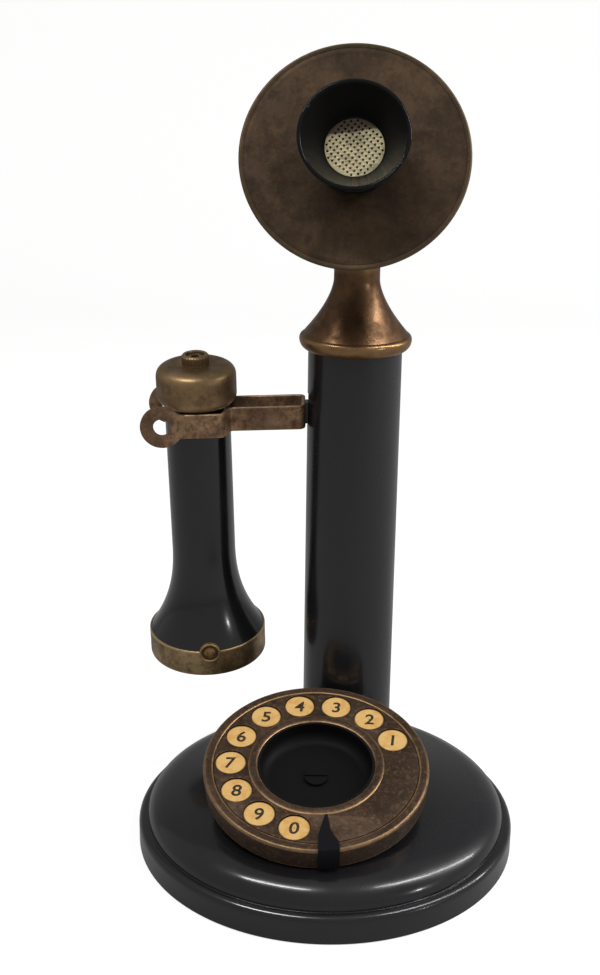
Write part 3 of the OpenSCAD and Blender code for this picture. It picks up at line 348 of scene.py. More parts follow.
def bore_out(piece, cutters):
    """Cuts the cutters out of the piece and removes them."""
    for cutter in cutters:
        modifier = piece.modifiers.new("cut", "BOOLEAN")
        modifier.object = cutter
        modifier.solver = "EXACT"
    old, piece.data = piece.data, evaluated_mesh(piece)
    piece.modifiers.clear()
    bpy.data.meshes.remove(old)
    piece.data.name = piece.name
    for cutter in cutters:
        bpy.data.objects.remove(cutter)
    soften(piece.data)


def rod(name, radius, low, high, place, segments):
    """Plain turned bar."""
    return turned(name, np.array([[0, low], [radius, low], [radius, high], [0, high]]), place, segments)


def flat_shape(name, loops, low, high, place, bevel=0.0):
    """Flat shape with holes: the filled curve of its loops between two heights, with cut edges."""
    curve = bpy.data.curves.new(name, "CURVE")
    curve.dimensions = "2D"
    curve.fill_mode = "BOTH"
    for loop in loops:
        spline = curve.splines.new("POLY")
        spline.points.add(len(loop) - 1)
        flat = np.column_stack([loop, np.zeros(len(loop)), np.ones(len(loop))])
        flat[:, :3] *= MM
        spline.points.foreach_set("co", flat.ravel())
        spline.use_cyclic_u = True
    curve.extrude = ((high - low) / 2 - bevel) * MM
    curve.bevel_depth = bevel * MM
    curve.bevel_resolution = 1
    curve.offset = -bevel * MM
    mesh = curve_mesh(curve)
    mesh.name = name
    mesh.transform(Matrix.Translation((0, 0, (low + high) / 2 * MM)))
    close_mesh(mesh)
    mesh.transform(place)
    return add_object(name, mesh)


# ---------------- finishes

class Finish:
    """A material's node tree, with short calls for the nodes that these finishes use."""

    def __init__(self, name):
        self.material = bpy.data.materials.new(name)
        self.material.use_nodes = True
        self.tree = self.material.node_tree
        self.shader = self.tree.nodes["Principled BSDF"]
        self.place = self.add("ShaderNodeTexCoord").outputs["Object"]

    def add(self, kind, **settings):
        """A new node with those settings."""
        node = self.tree.nodes.new(kind)
        for key, value in settings.items():
            setattr(node, key, value)
        return node

    def feed(self, socket, value):
        """Links an output to the socket, or sets the socket to a number or a colour."""
        if isinstance(value, bpy.types.NodeSocket):
            self.tree.links.new(value, socket)
        elif isinstance(value, (int, float)):
            socket.default_value = value
        else:
            socket.default_value = (*value, 1.0)

    def feed_named(self, node, **values):
        """Feeds sockets by name, with _ for a space."""
        for key, value in values.items():
            self.feed(node.inputs[key.replace("_", " ")], value)
        return node

    def noise(self, scale, detail=4.0, roughness=0.6, distortion=0.0):
        """Fractal noise in the piece's own place, about 1 / scale metres across."""
        node = self.feed_named(self.add("ShaderNodeTexNoise"), Vector=self.place, Scale=scale,
                               Detail=detail, Roughness=roughness, Distortion=distortion)
        return node.outputs["Fac"]

    def remap(self, value, low, high, to_low=0.0, to_high=1.0):
        """A smooth step from to_low at low to to_high at high."""
        node = self.add("ShaderNodeMapRange", interpolation_type="SMOOTHSTEP")
        self.feed_named(node, Value=value, From_Min=low, From_Max=high, To_Min=to_low, To_Max=to_high)
        return node.outputs["Result"]

    def math(self, operation, a, b):
        """That operation on two values."""
        node = self.add("ShaderNodeMath", operation=operation)
        self.feed(node.inputs[0], a)
        self.feed(node.inputs[1], b)
        return node.outputs[0]

    def times(self, a, b):
        """a times b."""
        return self.math("MULTIPLY", a, b)

    def mix(self, factor, a, b):
        """Colour a where the factor is 0 and b where it is 1."""
        node = self.add("ShaderNodeMix", data_type="RGBA")
        for index, value in ((0, factor), (6, a), (7, b)):
            self.feed(node.inputs[index], value)
        return node.outputs[2]

    def edge(self):
        """The piece's own wear attribute."""
        return self.add("ShaderNodeAttribute", attribute_name="edge").outputs["Fac"]

    def bump(self, height, strength, distance):
        """Bump on top of what the shader's normal already has."""
        node = self.feed_named(self.add("ShaderNodeBump"), Height=height, Strength=strength,
                               Distance=distance)
        if self.shader.inputs["Normal"].is_linked:
            self.feed(node.inputs["Normal"], self.shader.inputs["Normal"].links[0].from_socket)
        self.feed(self.shader.inputs["Normal"], node.outputs["Normal"])

    def set(self, **values):
        """Feeds the shader's own sockets."""
        self.feed_named(self.shader, **values)


def shade(colour, factor):
    """A colour made darker or lighter."""
    return tuple(min(1.0, c * factor) for c in colour)


def black_gloss(name, colour, rough=(0.14, 0.30), bump=0.05, dust=0.02, coat=0.25, level=0.44, polish=0.0):
    """Glossy black with faint clouds in its gloss, a trace of dust and a slightly wavy skin."""
    f = Finish(name)
    clouds = f.noise(28, 5)
    fine = f.noise(900, 3)
    specks = f.remap(f.noise(1400, 2), 0.70, 0.80)
    f.set(Base_Color=f.mix(f.times(specks, dust), colour, (0.5, 0.47, 0.42)))
    roughness = f.remap(clouds, 0.3, 0.7, *rough)
    if polish:
        roughness = f.times(roughness, f.remap(f.edge(), 0.1, 0.5, 1.0, 1.0 - polish))
    f.set(Roughness=roughness, Coat_Weight=coat, Coat_Roughness=0.07, Specular_IOR_Level=level)
    f.bump(f.noise(60, 2), bump, 0.0004)
    f.bump(fine, bump, 0.00005)
    return f.material


def aged_metal(name, colour, bright, rough=0.42, metallic=0.85, patina=0.45, wear=0.5, rust=0.0, pits=0.25,
               rust_colour=(0.16, 0.060, 0.020), contrast=0.5, specks=0.0):
    """Old metal: clouds of patina, bright metal on worn edges, dirt in hollows, rust spots and pits."""
    f = Finish(name)
    clouds = f.noise(42, 6, 0.62, distortion=0.4)
    mottle = f.noise(190, 6, 0.65)
    grain = f.noise(1300, 4, 0.7)
    tone = f.mix(f.remap(clouds, 0.36, 0.66), shade(colour, 1 - contrast * 0.75), shade(colour, 1 + contrast))
    tone = f.mix(f.times(f.remap(mottle, 0.46, 0.64), patina), tone, shade(colour, 0.40))
    if rust:
        spots = f.remap(f.noise(260, 7, 0.72, distortion=0.3), 0.62 - rust * 0.14, 0.70)
        tone = f.mix(f.times(spots, 0.85), tone, rust_colour)
    if specks:
        fine = f.remap(f.noise(620, 5, 0.75), 0.50, 0.64)
        tone = f.mix(f.times(fine, specks), tone, shade(bright, 0.55))
        dark = f.remap(f.noise(480, 5, 0.75, distortion=0.2), 0.51, 0.64)
        tone = f.mix(f.times(dark, specks), tone, shade(colour, 0.30))
    edge = f.edge()
    rubbed = f.times(f.remap(edge, 0.08, 0.75), f.remap(mottle, 0.30, 0.62, 1 - wear, 1.0))
    tone = f.mix(f.times(rubbed, wear), tone, bright)
    dirt = f.remap(edge, -0.05, -0.5)
    tone = f.mix(f.times(dirt, 0.7), tone, shade(colour, 0.18))
    f.set(Base_Color=tone, Metallic=metallic)
    uneven = f.remap(mottle, 0.3, 0.7, rough - 0.07, rough + 0.13)
    f.set(Roughness=f.math("SUBTRACT", uneven, f.times(rubbed, 0.12)))
    f.bump(grain, pits, 0.00006)
    f.bump(mottle, pits * 0.7, 0.00012)
    return f.material


def plain_metal(name, colour, rough=0.35, metallic=1.0):
    """Machined metal with fine grain and a little staining."""
    f = Finish(name)
    stain = f.noise(120, 5)
    f.set(Base_Color=f.mix(f.remap(stain, 0.4, 0.7), colour, shade(colour, 0.6)), Metallic=metallic)
    f.set(Roughness=f.remap(stain, 0.3, 0.7, rough, rough + 0.2))
    f.bump(f.noise(1800, 3), 0.15, 0.00004)
    return f.material


def cloth_like(name, colour, rough=0.95):
    """Felt or unglazed rubber: matt, with short fibre or grain."""
    f = Finish(name)
    f.set(Base_Color=f.mix(f.noise(500, 6, 0.8), shade(colour, 0.6), shade(colour, 1.5)), Roughness=rough)
    f.bump(f.noise(1600, 6, 0.8), 0.6, 0.0003)
    return f.material


def ivory_disc(name, colour):
    """Aged amber cream with darker stains, and a thin dark rim of painted shade where the gap round the disc
    falls in shadow.
    """
    f = Finish(name)
    stain = f.noise(230, 6, 0.7)
    tone = f.mix(f.remap(stain, 0.42, 0.68), colour, (colour[0] * 0.86, colour[1] * 0.72, colour[2] * 0.55))
    tone = f.mix(f.remap(f.noise(900, 3), 0.62, 0.72, 0.0, 0.35), tone, shade(colour, 0.5))
    # Painted shade: the disc's edge is darkened in place of the shadow in the gap between the disc and its
    # finger hole.
    tone = f.mix(f.remap(f.edge(), 0.15, 0.7, 0.0, 0.8), tone, (0.10, 0.06, 0.02))
    f.set(Base_Color=tone, Roughness=0.42, Specular_IOR_Level=0.4)
    f.bump(stain, 0.2, 0.00005)
    return f.material


def digit_ink(name, colour):
    """Dull ink, worn a little to the brown under it."""
    f = Finish(name)
    worn = f.remap(f.noise(1500, 4), 0.45, 0.75)
    f.set(Base_Color=f.mix(worn, colour, (0.12, 0.075, 0.03)), Roughness=0.55)
    return f.material


def cream_with_stains_and_painted_shadow(name, colour, low, high):
    """Cream with stains and brown spots, and a painted shadow above a slanted line near the top of its box,
    where the bell's upper rim shades the grille.
    """
    f = Finish(name)
    stain = f.noise(260, 6, 0.7)
    tone = f.mix(f.remap(stain, 0.45, 0.62), colour, shade(colour, 0.62))
    tone = f.mix(f.remap(f.noise(170, 3), 0.60, 0.72, 0.0, 0.5), tone, (0.50, 0.26, 0.10))
    # Painted shadow: above a slanted height near the top, the cream is darkened to brown in place of the
    # shade cast by the bell's upper rim.
    place = f.add("ShaderNodeSeparateXYZ")
    f.feed(place.inputs[0], f.place)
    tall, slant = high.z - low.z, 0.16
    rise = f.math("ADD", place.outputs["Z"], f.times(f.noise(140, 4), tall * 0.16))
    rise = f.math("ADD", rise, f.times(place.outputs["X"], -slant))
    line = low.z + tall * 0.82 - (low.x + high.x) / 2 * slant
    tone = f.mix(f.remap(rise, line, line + tall * 0.05, 0.0, 0.90), tone, (0.085, 0.052, 0.036))
    f.set(Base_Color=tone, Roughness=0.45, Metallic=0.15)
    f.bump(stain, 0.3, 0.0001)
    return f.material


def finish_piece(piece, material):
    """Gives the piece that one material."""
    piece.data.materials.clear()
    piece.data.materials.append(material)


def finish_nodes(names, material):
    """Puts a material on frame nodes that keep their shape."""
    for name in names:
        for holder in frame["nodes"][name].material_slots:
            holder.material = material


def place_piece(piece, body, material, nodes=()):
    """Finishes a piece and hands it to the frame: its body and the nodes that it stands for."""
    finish_piece(piece, material)
    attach(piece, body)
    if nodes:
        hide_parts(*nodes)


# ---------------- base and stem

FOOT_LOW = 0.1
FOOT_EDGE = 0.7
FOOT_ROUND = 2.6
FOOT_WALL = 4.0
CREASE = 0.3
SHOULDER_RUN = 15.0
SHOULDER_TOP = 20.0
SHOULDER_END = 70.5
SHELL = 3.0
FLOOR_TOP = 3.2
PEDESTAL_RADIUS = 34.0
HOLE_PLAY = 0.2
HOLE_LOW, HOLE_HIGH = 10, 60


def base_outline(foot_r, foot_h, dome_r):
    """Foot with a rounded edge, a hollow crease, an elliptical shoulder and a parabolic crown.

    The same line a wall further in closes it.
    """
    z, end = foot_h + CREASE, math.radians(SHOULDER_END)
    rise = (SHOULDER_TOP - z) / math.sin(end)
    centre = dome_r - SHOULDER_RUN
    crown_r = centre + SHOULDER_RUN * math.cos(end)
    crown_rise = rise / SHOULDER_RUN / math.tan(end) * crown_r / 2
    r = np.linspace(crown_r, 0.0, 30)
    crown = np.column_stack([r, SHOULDER_TOP + crown_rise * (1 - (r / crown_r) ** 2)])
    foot_in = foot_r - FOOT_WALL + FIT
    return join_outline(
        corner(foot_r, FOOT_LOW, FOOT_EDGE, -90, 6), corner(foot_r, foot_h, FOOT_ROUND, 0, 10),
        arc(dome_r + CREASE, z, CREASE, CREASE, -90, -180, 8),
        arc(centre, z, SHOULDER_RUN, rise, 0, SHOULDER_END, 40)[1:], crown[1:], crown[::-1] - [0, SHELL],
        arc(centre, z, SHOULDER_RUN - SHELL, rise - SHELL, SHOULDER_END, 0, 16),
        (dome_r - SHELL, FLOOR_TOP), (foot_in, FLOOR_TOP), (foot_in, FOOT_LOW))


def build_base(sizes, colours):
    """Enamelled shell of the base with its holes for the stem and for the dial's drum."""
    outline = base_outline(sizes.foot_radius / MM, sizes.foot_height / MM, sizes.dome_radius / MM)
    shell = turned("base_shell", outline, Matrix.Identity(4), sizes.segments)
    low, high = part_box("dial_pedestal")
    drum = at([(low.x + high.x) / 2 / MM, (low.y + high.y) / 2 / MM, 0])
    holes = (("stem_hole", sizes.stem_radius / MM, STEM), ("drum_hole", PEDESTAL_RADIUS, drum))
    bore_out(shell, [rod(name, radius + HOLE_PLAY, HOLE_LOW, HOLE_HIGH, place, sizes.segments)
                     for name, radius, place in holes])
    place_piece(shell, "stand",
                black_gloss("black_enamel", colours.enamel, rough=(0.16, 0.30), bump=0.06), ["base_dome"])
    finish_nodes(["stem_tube"], black_gloss("stem_enamel", colours.enamel, rough=(0.20, 0.30)))
    finish_nodes(["dial_pedestal"], black_gloss("drum_enamel", colours.enamel, rough=(0.3, 0.45)))
    finish_nodes(["base_plate", "stem_socket"], plain_metal("zinc", (0.30, 0.29, 0.27)))
    finish_nodes(["felt_pad"], cloth_like("green_felt", (0.025, 0.075, 0.04)))
    finish_nodes(["ballast_ring"], plain_metal("cast_iron", (0.05, 0.05, 0.05), 0.6, 0.6))
    finish_nodes(["base_screws", "bracket_screws", "faceplate_screws", "dial_screws"],
                 plain_metal("screw_steel", (0.30, 0.26, 0.20), 0.3))
    finish_nodes(["cord_bush"], cloth_like("black_rubber", (0.012, 0.012, 0.012), 0.6))
    finish_nodes(["terminal_block", "impulse_block", "spring_insulators"],
                 black_gloss("brown_fibre", (0.05, 0.022, 0.012), rough=(0.4, 0.6)))


# ---------------- dial

LIP_INNER = 37.5
LIP_INNER_ROUND = 0.5
LIP_ROUND = 1.1
BAND = 9.3
BAND_TAPER = 0.6
BAND_CUT = 0.3
CASE_WALL = 1.5
CASE_FLOOR = 1.0
CASE_HOLE = 23.4
LEDGE = 1.0
LEDGE_RUN = 2.0
WEB_TOP = -0.1
WEB = 0.4
WEB_CUT = 0.12
WEB_LAP = 0.6
DISC_TOP = -0.6
DISC_THICK = 0.25
DISC_RADIUS = 5.6
DISC_ROUND = 0.12
WHEEL_EDGE = 37.3
HOLE_CIRCLE = 31.2
HOLE_RADIUS = 5.8
INNER_LIP = 24.8
INNER_LIP_TOP = 0.5
DISH_RADIUS = 21.4
DISH_DEPTH = 7.4
DISH_WALL = 0.9
DISH_ROUND = 5.0
DISH_RIM = 0.2
DISH_HOLE = 2.5
FIRST_HOLE = 25.6
HOLE_STEP = 360 / 14
DIGITS = "1234567890"
DIGIT_LIFT = 0.03


def hole_middle(index, height=0.0):
    """Middle of a finger hole: a point on a circle, in equal steps from the first."""
    a = math.radians(FIRST_HOLE + HOLE_STEP * index)
    return [HOLE_CIRCLE * math.cos(a), HOLE_CIRCLE * math.sin(a), height]


def case_outline(radius):
    """Rounded raised lip, a band that narrows a little downwards, a floor and the wheel's ledge."""
    ledge, foot, floor = DISC_TOP - DISC_THICK - LEDGE, radius - BAND_TAPER, CASE_FLOOR - BAND
    return join_outline(
        (LIP_INNER, ledge), corner(LIP_INNER, 0, LIP_INNER_ROUND, 90)[::-1],
        corner(radius, 0, LIP_ROUND, 0, 12)[::-1], (foot, BAND_CUT - BAND), (foot - BAND_CUT, -BAND),
        (CASE_HOLE, -BAND), (CASE_HOLE, floor), (foot - CASE_WALL, floor),
        (radius - CASE_WALL, ledge - LEDGE), (LIP_INNER - LEDGE_RUN, ledge - LEDGE),
        (LIP_INNER - LEDGE_RUN, ledge))


def build_dial_case(sizes, colours, bronze):
    """Bronze case of the dial, the plate under its wheel and the number discs."""
    outline = case_outline(sizes.dial_radius / MM)
    case = turned("dial_surround", outline, DIAL, sizes.segments, wear_spread=0.4)
    place_piece(case, "stand", bronze, ["dial_case"])
    finish_nodes(["number_plate"],
                 aged_metal("plate_bronze", shade(colours.bronze, 0.35), (0.2, 0.12, 0.06)))
    ivory = ivory_disc("amber_ivory", colours.ivory)
    under = DISC_TOP - DISC_THICK
    outline = join_outline((0, under), (DISC_RADIUS, under), corner(DISC_RADIUS, DISC_TOP, DISC_ROUND, 0, 4),
                           (0, DISC_TOP))
    discs = [turned("disc", outline, DIAL @ at(hole_middle(index)), 48, wear_spread=0.25)
             for index in range(len(DIGITS))]
    place_piece(merge_into("number_buttons", discs), "stand", ivory, ["number_discs"])


def build_digits(colours):
    """Digits 1 to 0, one on each number disc, upright to the user and leaning a little."""
    marks = []
    for index, digit in enumerate(DIGITS):
        text = bpy.data.curves.new("digit", "FONT")
        text.body = digit
        text.size = 7.4 * MM
        text.shear = 0.10
        text.offset = 0.13 * MM
        text.extrude = 0.02 * MM
        text.align_x = "CENTER"
        text.align_y = "CENTER"
        mesh = curve_mesh(text)
        co = np.empty(len(mesh.vertices) * 3, np.float32)
        mesh.vertices.foreach_get("co", co)
        co = co.reshape(-1, 3)
        middle = (co.min(0) + co.max(0)) / 2
        spot = DIAL @ at(hole_middle(index, DISC_TOP + DIGIT_LIFT))
        mesh.transform(spot @ Matrix.Translation(Vector((-middle[0], -middle[1], 0))))
        marks.append(add_object("digit", mesh))
    ink = digit_ink("digit_ink", colours.digit)
    place_piece(merge_into("digits", marks), "stand", ink)


def build_finger_wheel(sizes, bronze):
    """Finger wheel: a flat web with finger holes and a raised half-ellipse lip round its middle."""
    loops = [circle(WHEEL_EDGE, 160), circle(INNER_LIP - WEB_LAP, 128)]
    loops += [circle(HOLE_RADIUS, 48, *hole_middle(index)[:2]) for index in range(len(DIGITS))]
    web = flat_shape("web", loops, WEB_TOP - WEB, WEB_TOP, DIAL, WEB_CUT)
    half = (INNER_LIP - DISH_RADIUS) / 2
    outline = join_outline((DISH_RADIUS, WEB_TOP - WEB), (INNER_LIP, WEB_TOP - WEB), (INNER_LIP, WEB_TOP),
                           arc(DISH_RADIUS + half, WEB_TOP, half, INNER_LIP_TOP - WEB_TOP, 0, 180, 24))
    lip = turned("lip", outline, DIAL, sizes.segments, wear_spread=0.4)
    place_piece(merge_into("wheel", [lip, web]), "dial", bronze, ["finger_wheel"])


def build_dish(sizes):
    """Black dish in the wheel: a flat floor, a quarter-round corner and a straight rim."""
    low, out, top = -DISH_DEPTH - DISH_WALL, DISH_RADIUS - FIT, WEB_TOP + DISH_RIM
    outline = join_outline(
        (DISH_HOLE, low), corner(out, low, DISH_ROUND, -90, 16), (out, top), (out - DISH_WALL, top),
        corner(out - DISH_WALL, -DISH_DEPTH, DISH_ROUND - DISH_WALL, -90, 16)[::-1], (DISH_HOLE, -DISH_DEPTH))
    dish = turned("hub_dish", outline, DIAL, sizes.segments)
    black = black_gloss("dish_black", (0.006, 0.006, 0.006), rough=(0.5, 0.6), coat=0.0, level=0.10)
    place_piece(dish, "dial", black, ["wheel_dish"])
    finish_nodes(["hub_screw"], black)
    finish_nodes(["finger_stop"],
                 black_gloss("stop_black", (0.007, 0.007, 0.009), rough=(0.25, 0.35), coat=0.0, level=0.18))


def finish_works():
    """Steel and brass of the movement, the hook switch and the capsules."""
    finish_nodes(["dial_shaft", "pinion_arbor", "governor_arbor", "governor_drum", "mainspring", "hook_pin",
                  "hook_spring", "transmitter_diaphragm", "receiver_diaphragm", "transmitter_bridge"],
                 plain_metal("bright_steel", (0.42, 0.41, 0.40), 0.25))
    finish_nodes(["main_gear", "mechanism_frame", "back_plate", "impulse_cam", "governor_weights",
                  "terminal_screws", "carbon_button", "hook_bracket", "impulse_springs", "contact_springs"],
                 plain_metal("clock_brass", (0.58, 0.40, 0.16), 0.25))


def build_dial(sizes, colours):
    """The whole dial; its case and its wheel share one bronze."""
    bronze = aged_metal("dial_bronze_finish", colours.bronze, colours.bronze_wear, rough=0.42,
                        metallic=0.75, patina=0.60, wear=0.60, pits=0.6, contrast=0.40, rust=0.35,
                        rust_colour=(0.19, 0.080, 0.03), specks=0.30)
    build_dial_case(sizes, colours, bronze)
    build_digits(colours)
    build_finger_wheel(sizes, bronze)
    build_dish(sizes)
    finish_works()


# ---------------- hook

STRIP_HIGH = 9.2
STRIP_THICK = 1.3
STRIP_CUT = 0.2
FORK_BACK_X = -18.15
JOG_NEAR_X = -46.23
JOG_FAR_X = -48.53
EYELET_X = -70.85
ARM_MIDDLE = 6.5
FORK_MIDDLE = 13.85
EYELET_OUT = 8.0
EYELET_HOLE = 3.15
EYELET_NECK = 9.0
BEND = 1.9
FILLET = 1.4


def eyelet_loop():
    """Ring and neck in one line: a circle, fillets that touch it and the strip's edges, and the edges."""
    high = STRIP_HIGH / 2
    fx, fy = math.sqrt((EYELET_OUT + FILLET) ** 2 - (high + FILLET) ** 2), high + FILLET
    touch = math.degrees(math.atan2(fy, fx))
    fillet = arc(fx, fy, FILLET, FILLET, 180 + touch, 270, 8)
    ring = arc(0, 0, EYELET_OUT, EYELET_OUT, touch, 360 - touch, 72)
    return join_outline((EYELET_NECK, high), fillet[::-1], ring, fillet * [1, -1], (EYELET_NECK, -high))


def build_hook(colours):
    """Forked strip: a bent band with a slanted jog in each arm and a pierced ring at each end."""
    back, half = FORK_BACK_X - STRIP_THICK / 2, STRIP_THICK / 2
    side = np.array([[EYELET_X + EYELET_NECK, FORK_MIDDLE], [JOG_FAR_X, FORK_MIDDLE],
                     [JOG_NEAR_X, ARM_MIDDLE], [back, ARM_MIDDLE]])
    path = rounded_path(np.vstack([side, side[::-1] * [1, -1]]), BEND)
    points, edge = strip_along(path, STRIP_THICK, STRIP_HIGH, STRIP_CUT)
    faces = grid_faces(*points.shape[:2], wrap_rows=False)
    pieces = [mesh_piece("band", points, faces, FORK, edge)]
    for s in (-1, 1):
        place = FORK @ at([EYELET_X, s * FORK_MIDDLE, 0], (90, "X"))
        loops = [eyelet_loop(), circle(EYELET_HOLE, 48)]
        pieces.append(flat_shape("eyelet", loops, -half, half, place, STRIP_CUT))
    rusty = aged_metal("rusty_bronze", colours.fork, (0.42, 0.28, 0.16), rough=0.50, metallic=0.6,
                       patina=0.70, wear=0.30, specks=0.60, rust=1.1, pits=0.7,
                       rust_colour=(0.10, 0.030, 0.012))
    place_piece(merge_into("fork", pieces), "hook", rusty, ["hook_fork"])
    finish_nodes(["hook_lever"], black_gloss("lever_black", (0.010, 0.010, 0.012), rough=(0.3, 0.45)))


# ---------------- collar and head

COLLAR_DROP = 34.3
SPIGOT_LOW = -11.0
SPIGOT_TOP = -2.6
SPIGOT_IN = 2.05
SKIRT_OUT = 0.3
SKIRT_RISE = 0.2
BEAD_OUT = 3.4
BEAD_HALF = 1.9
BEAD_LOW = 3.9
NECK_RADIUS = 8.4
NECK_BORE = 4.0
NECK_TOP = 28.3
FLARE_IN = 3.0
FLARE_LOW = 2.0
FLARE_HIGH = 18.1
FLARE_POWER = 1.6
CLEVIS_RADIUS = 5.0
CLEVIS_DROP = 6.5
CLEVIS_HOLE = 1.85
CLEVIS_CUT = 0.25
TONGUE_THICK = 5.0
TONGUE_PLAY = 0.15
CHEEK_THICK = 3.0


def collar_outline(stem_r):
    """Spigot in the tube, a rounded bead over it, a flare whose radius falls as a power, and the neck."""
    bead_r = stem_r + BEAD_OUT
    spigot_r, skirt_r = stem_r - SPIGOT_IN, stem_r + SKIRT_OUT
    t = np.linspace(0, 1, 36)
    flare = np.column_stack([NECK_RADIUS + (bead_r - FLARE_IN - NECK_RADIUS) * (1 - t) ** FLARE_POWER,
                             BEAD_HALF + FLARE_LOW + FLARE_HIGH * t])
    return join_outline(
        (NECK_BORE, SPIGOT_LOW), (spigot_r, SPIGOT_LOW), (spigot_r, SPIGOT_TOP), (skirt_r, SPIGOT_TOP),
        (skirt_r, SKIRT_RISE - BEAD_LOW), arc(stem_r, 0, BEAD_OUT, BEAD_LOW, -75, 0, 14),
        arc(bead_r - BEAD_HALF, 0, BEAD_HALF, BEAD_HALF, 8, 70, 10), flare,
        (NECK_RADIUS, NECK_TOP), (NECK_BORE, NECK_TOP))


def build_collar(sizes, colours):
    """Copper collar with the two cheeks of the head's pivot, each a half-round on a square foot."""
    pieces = [turned("collar_flare", collar_outline(sizes.stem_radius / MM),
                     at([HOOK_POINT[0], HOOK_POINT[1], PIVOT_POINT[2] - COLLAR_DROP]), sizes.segments,
                     wear_spread=1.2)]
    loops = [join_outline(arc(0, 0, CLEVIS_RADIUS, CLEVIS_RADIUS, 0, 180, 24), (-CLEVIS_RADIUS, -CLEVIS_DROP),
                          (CLEVIS_RADIUS, -CLEVIS_DROP)), circle(CLEVIS_HOLE, 32)]
    half = CHEEK_THICK / 2
    for s in (-1, 1):
        place = PIVOT @ at([s * (TONGUE_THICK / 2 + TONGUE_PLAY + half), 0, 0], (90, "Z"), (90, "X"))
        pieces.append(flat_shape("cheek", loops, -half, half, place, CLEVIS_CUT))
    copper = aged_metal("worn_copper", colours.copper, (0.52, 0.32, 0.13), rough=0.34, metallic=0.92,
                        patina=0.55, wear=0.6, pits=0.3, contrast=0.45)
    place_piece(merge_into("collar", pieces), "stand", copper, ["neck_collar"])
    finish_nodes(["head_screw", "head_nut", "transmitter_cup"], copper)


PLATE_THICK = 2.2
PLATE_ROUND = 0.7
FIELD_DEPTH = 0.35
RIM_RUN = 1.6
RIM_DEPTH = 0.10
RIDGE_AT = 0.925
RIDGE_HALF = 1.4
RIDGE_BASE = 0.22
RIDGE_HIGH = 0.05
FACE_HOLE = 12.2
ROOT_LONG = 1.5
MOUTH_LONG = 21.4
MOUTH_BASE = 12.0
MOUTH_START = 2.2
MOUTH_POWER = 1.5
BOWL_POWER = 0.8
FLANGE_RUN = 1.4
FLANGE_HIGH = 1.4
FLANGE_CUT = 0.4
LIP = 1.5
GRILLE_RADIUS = 10.1
GRILLE_SEAT = 1.6
GRILLE_OUT = 8.0
GRILLE_LOW = 0.9
GRILLE_TOP = 0.1
GRILLE_HOLE = 0.42
GRILLE_EDGE = 0.6
GRILLE_CUT = 0.08
GRILLE_TURN = 9.0


def build_faceplate(sizes, colours):
    """Faceplate: a thin raised edge, a faint squared-cosine ridge inside it and a flat field."""
    r = sizes.plate_radius / MM
    ridge = np.linspace(-1, 1, 11)
    ring = np.column_stack([r * RIDGE_AT - RIDGE_HALF * ridge,
                            RIDGE_HIGH * np.cos(ridge * math.pi / 2) ** 2 - RIDGE_BASE])
    outline = join_outline(
        (FACE_HOLE, -PLATE_THICK), (r - PLATE_ROUND, -PLATE_THICK),
        arc(r - PLATE_ROUND, -PLATE_ROUND, PLATE_ROUND, PLATE_ROUND, -20, 90, 10),
        (r - RIM_RUN, -RIM_DEPTH), ring, (FACE_HOLE, -FIELD_DEPTH))
    plate = turned("front_plate", outline, HEAD, sizes.segments, wear_spread=0.3)
    patina = aged_metal("patinated_brass", colours.plate, (0.26, 0.20, 0.10), rough=0.50, metallic=0.75,
                        patina=0.40, wear=0.45, pits=0.22, contrast=0.45, rust=0.25,
                        rust_colour=(0.080, 0.028, 0.012), specks=0.12)
    place_piece(plate, "head", patina, ["faceplate"])


def build_mouthpiece(sizes, colours):
    """Mouthpiece: a bell and a bowl whose radii grow as powers of the distance, and a rolled rim."""
    rim_r, lip, seat = sizes.mouth_radius / MM, LIP / 2, GRILLE_RADIUS + FIT
    root, low, ledge = FACE_HOLE - FIT, -PLATE_THICK - ROOT_LONG, GRILLE_OUT - GRILLE_LOW
    collar_r, end = MOUTH_BASE + FLANGE_RUN, MOUTH_LONG - lip
    t = np.linspace(0, 1, 30)
    bell = np.column_stack([MOUTH_BASE + (rim_r - MOUTH_BASE) * t ** MOUTH_POWER,
                            MOUTH_START + (end - MOUTH_START) * t])
    bowl = np.column_stack([seat + (rim_r - LIP - seat) * t ** BOWL_POWER,
                            GRILLE_OUT + (end - GRILLE_OUT) * t])
    outline = join_outline(
        (root, low), (root, -FIELD_DEPTH), (collar_r, -FIELD_DEPTH), (collar_r, FLANGE_HIGH),
        (collar_r - FLANGE_CUT, FLANGE_HIGH + FLANGE_CUT), bell, arc(rim_r - lip, end, lip, lip, 0, 180, 12),
        bowl[::-1], (seat, ledge), (GRILLE_RADIUS - GRILLE_SEAT, ledge), (GRILLE_RADIUS - GRILLE_SEAT, low))
    mouth = turned("mouth_bell", outline, HEAD, sizes.segments)
    ebonite = black_gloss("mouth_ebonite", colours.ebonite, rough=(0.26, 0.36), bump=0.02, dust=0.01,
                          coat=0.0, level=0.10, polish=0.7)
    place_piece(mouth, "head", ebonite, ["mouthpiece"])


def build_grille(sizes, colours):
    """Pierced disc: holes at every second point of a square lattice."""
    pitch = sizes.grille_pitch / MM
    count = int(GRILLE_RADIUS / pitch) + 1
    steps = range(-count, count + 1)
    middles = [(i * pitch, j * pitch) for i in steps for j in steps if (i + j) % 2 == 0]
    loops = [circle(GRILLE_RADIUS)]
    loops += [circle(GRILLE_HOLE, 14, *middle) for middle in middles
              if math.hypot(*middle) < GRILLE_RADIUS - GRILLE_EDGE]
    grille = flat_shape("grille", loops, GRILLE_OUT - GRILLE_LOW, GRILLE_OUT - GRILLE_TOP,
                        HEAD @ spin(GRILLE_TURN), GRILLE_CUT)
    cream = cream_with_stains_and_painted_shadow("grille_cream", colours.grille, *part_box("mouthpiece_grille"))
    place_piece(grille, "head", cream, ["mouthpiece_grille"])


# ---------------- receiver

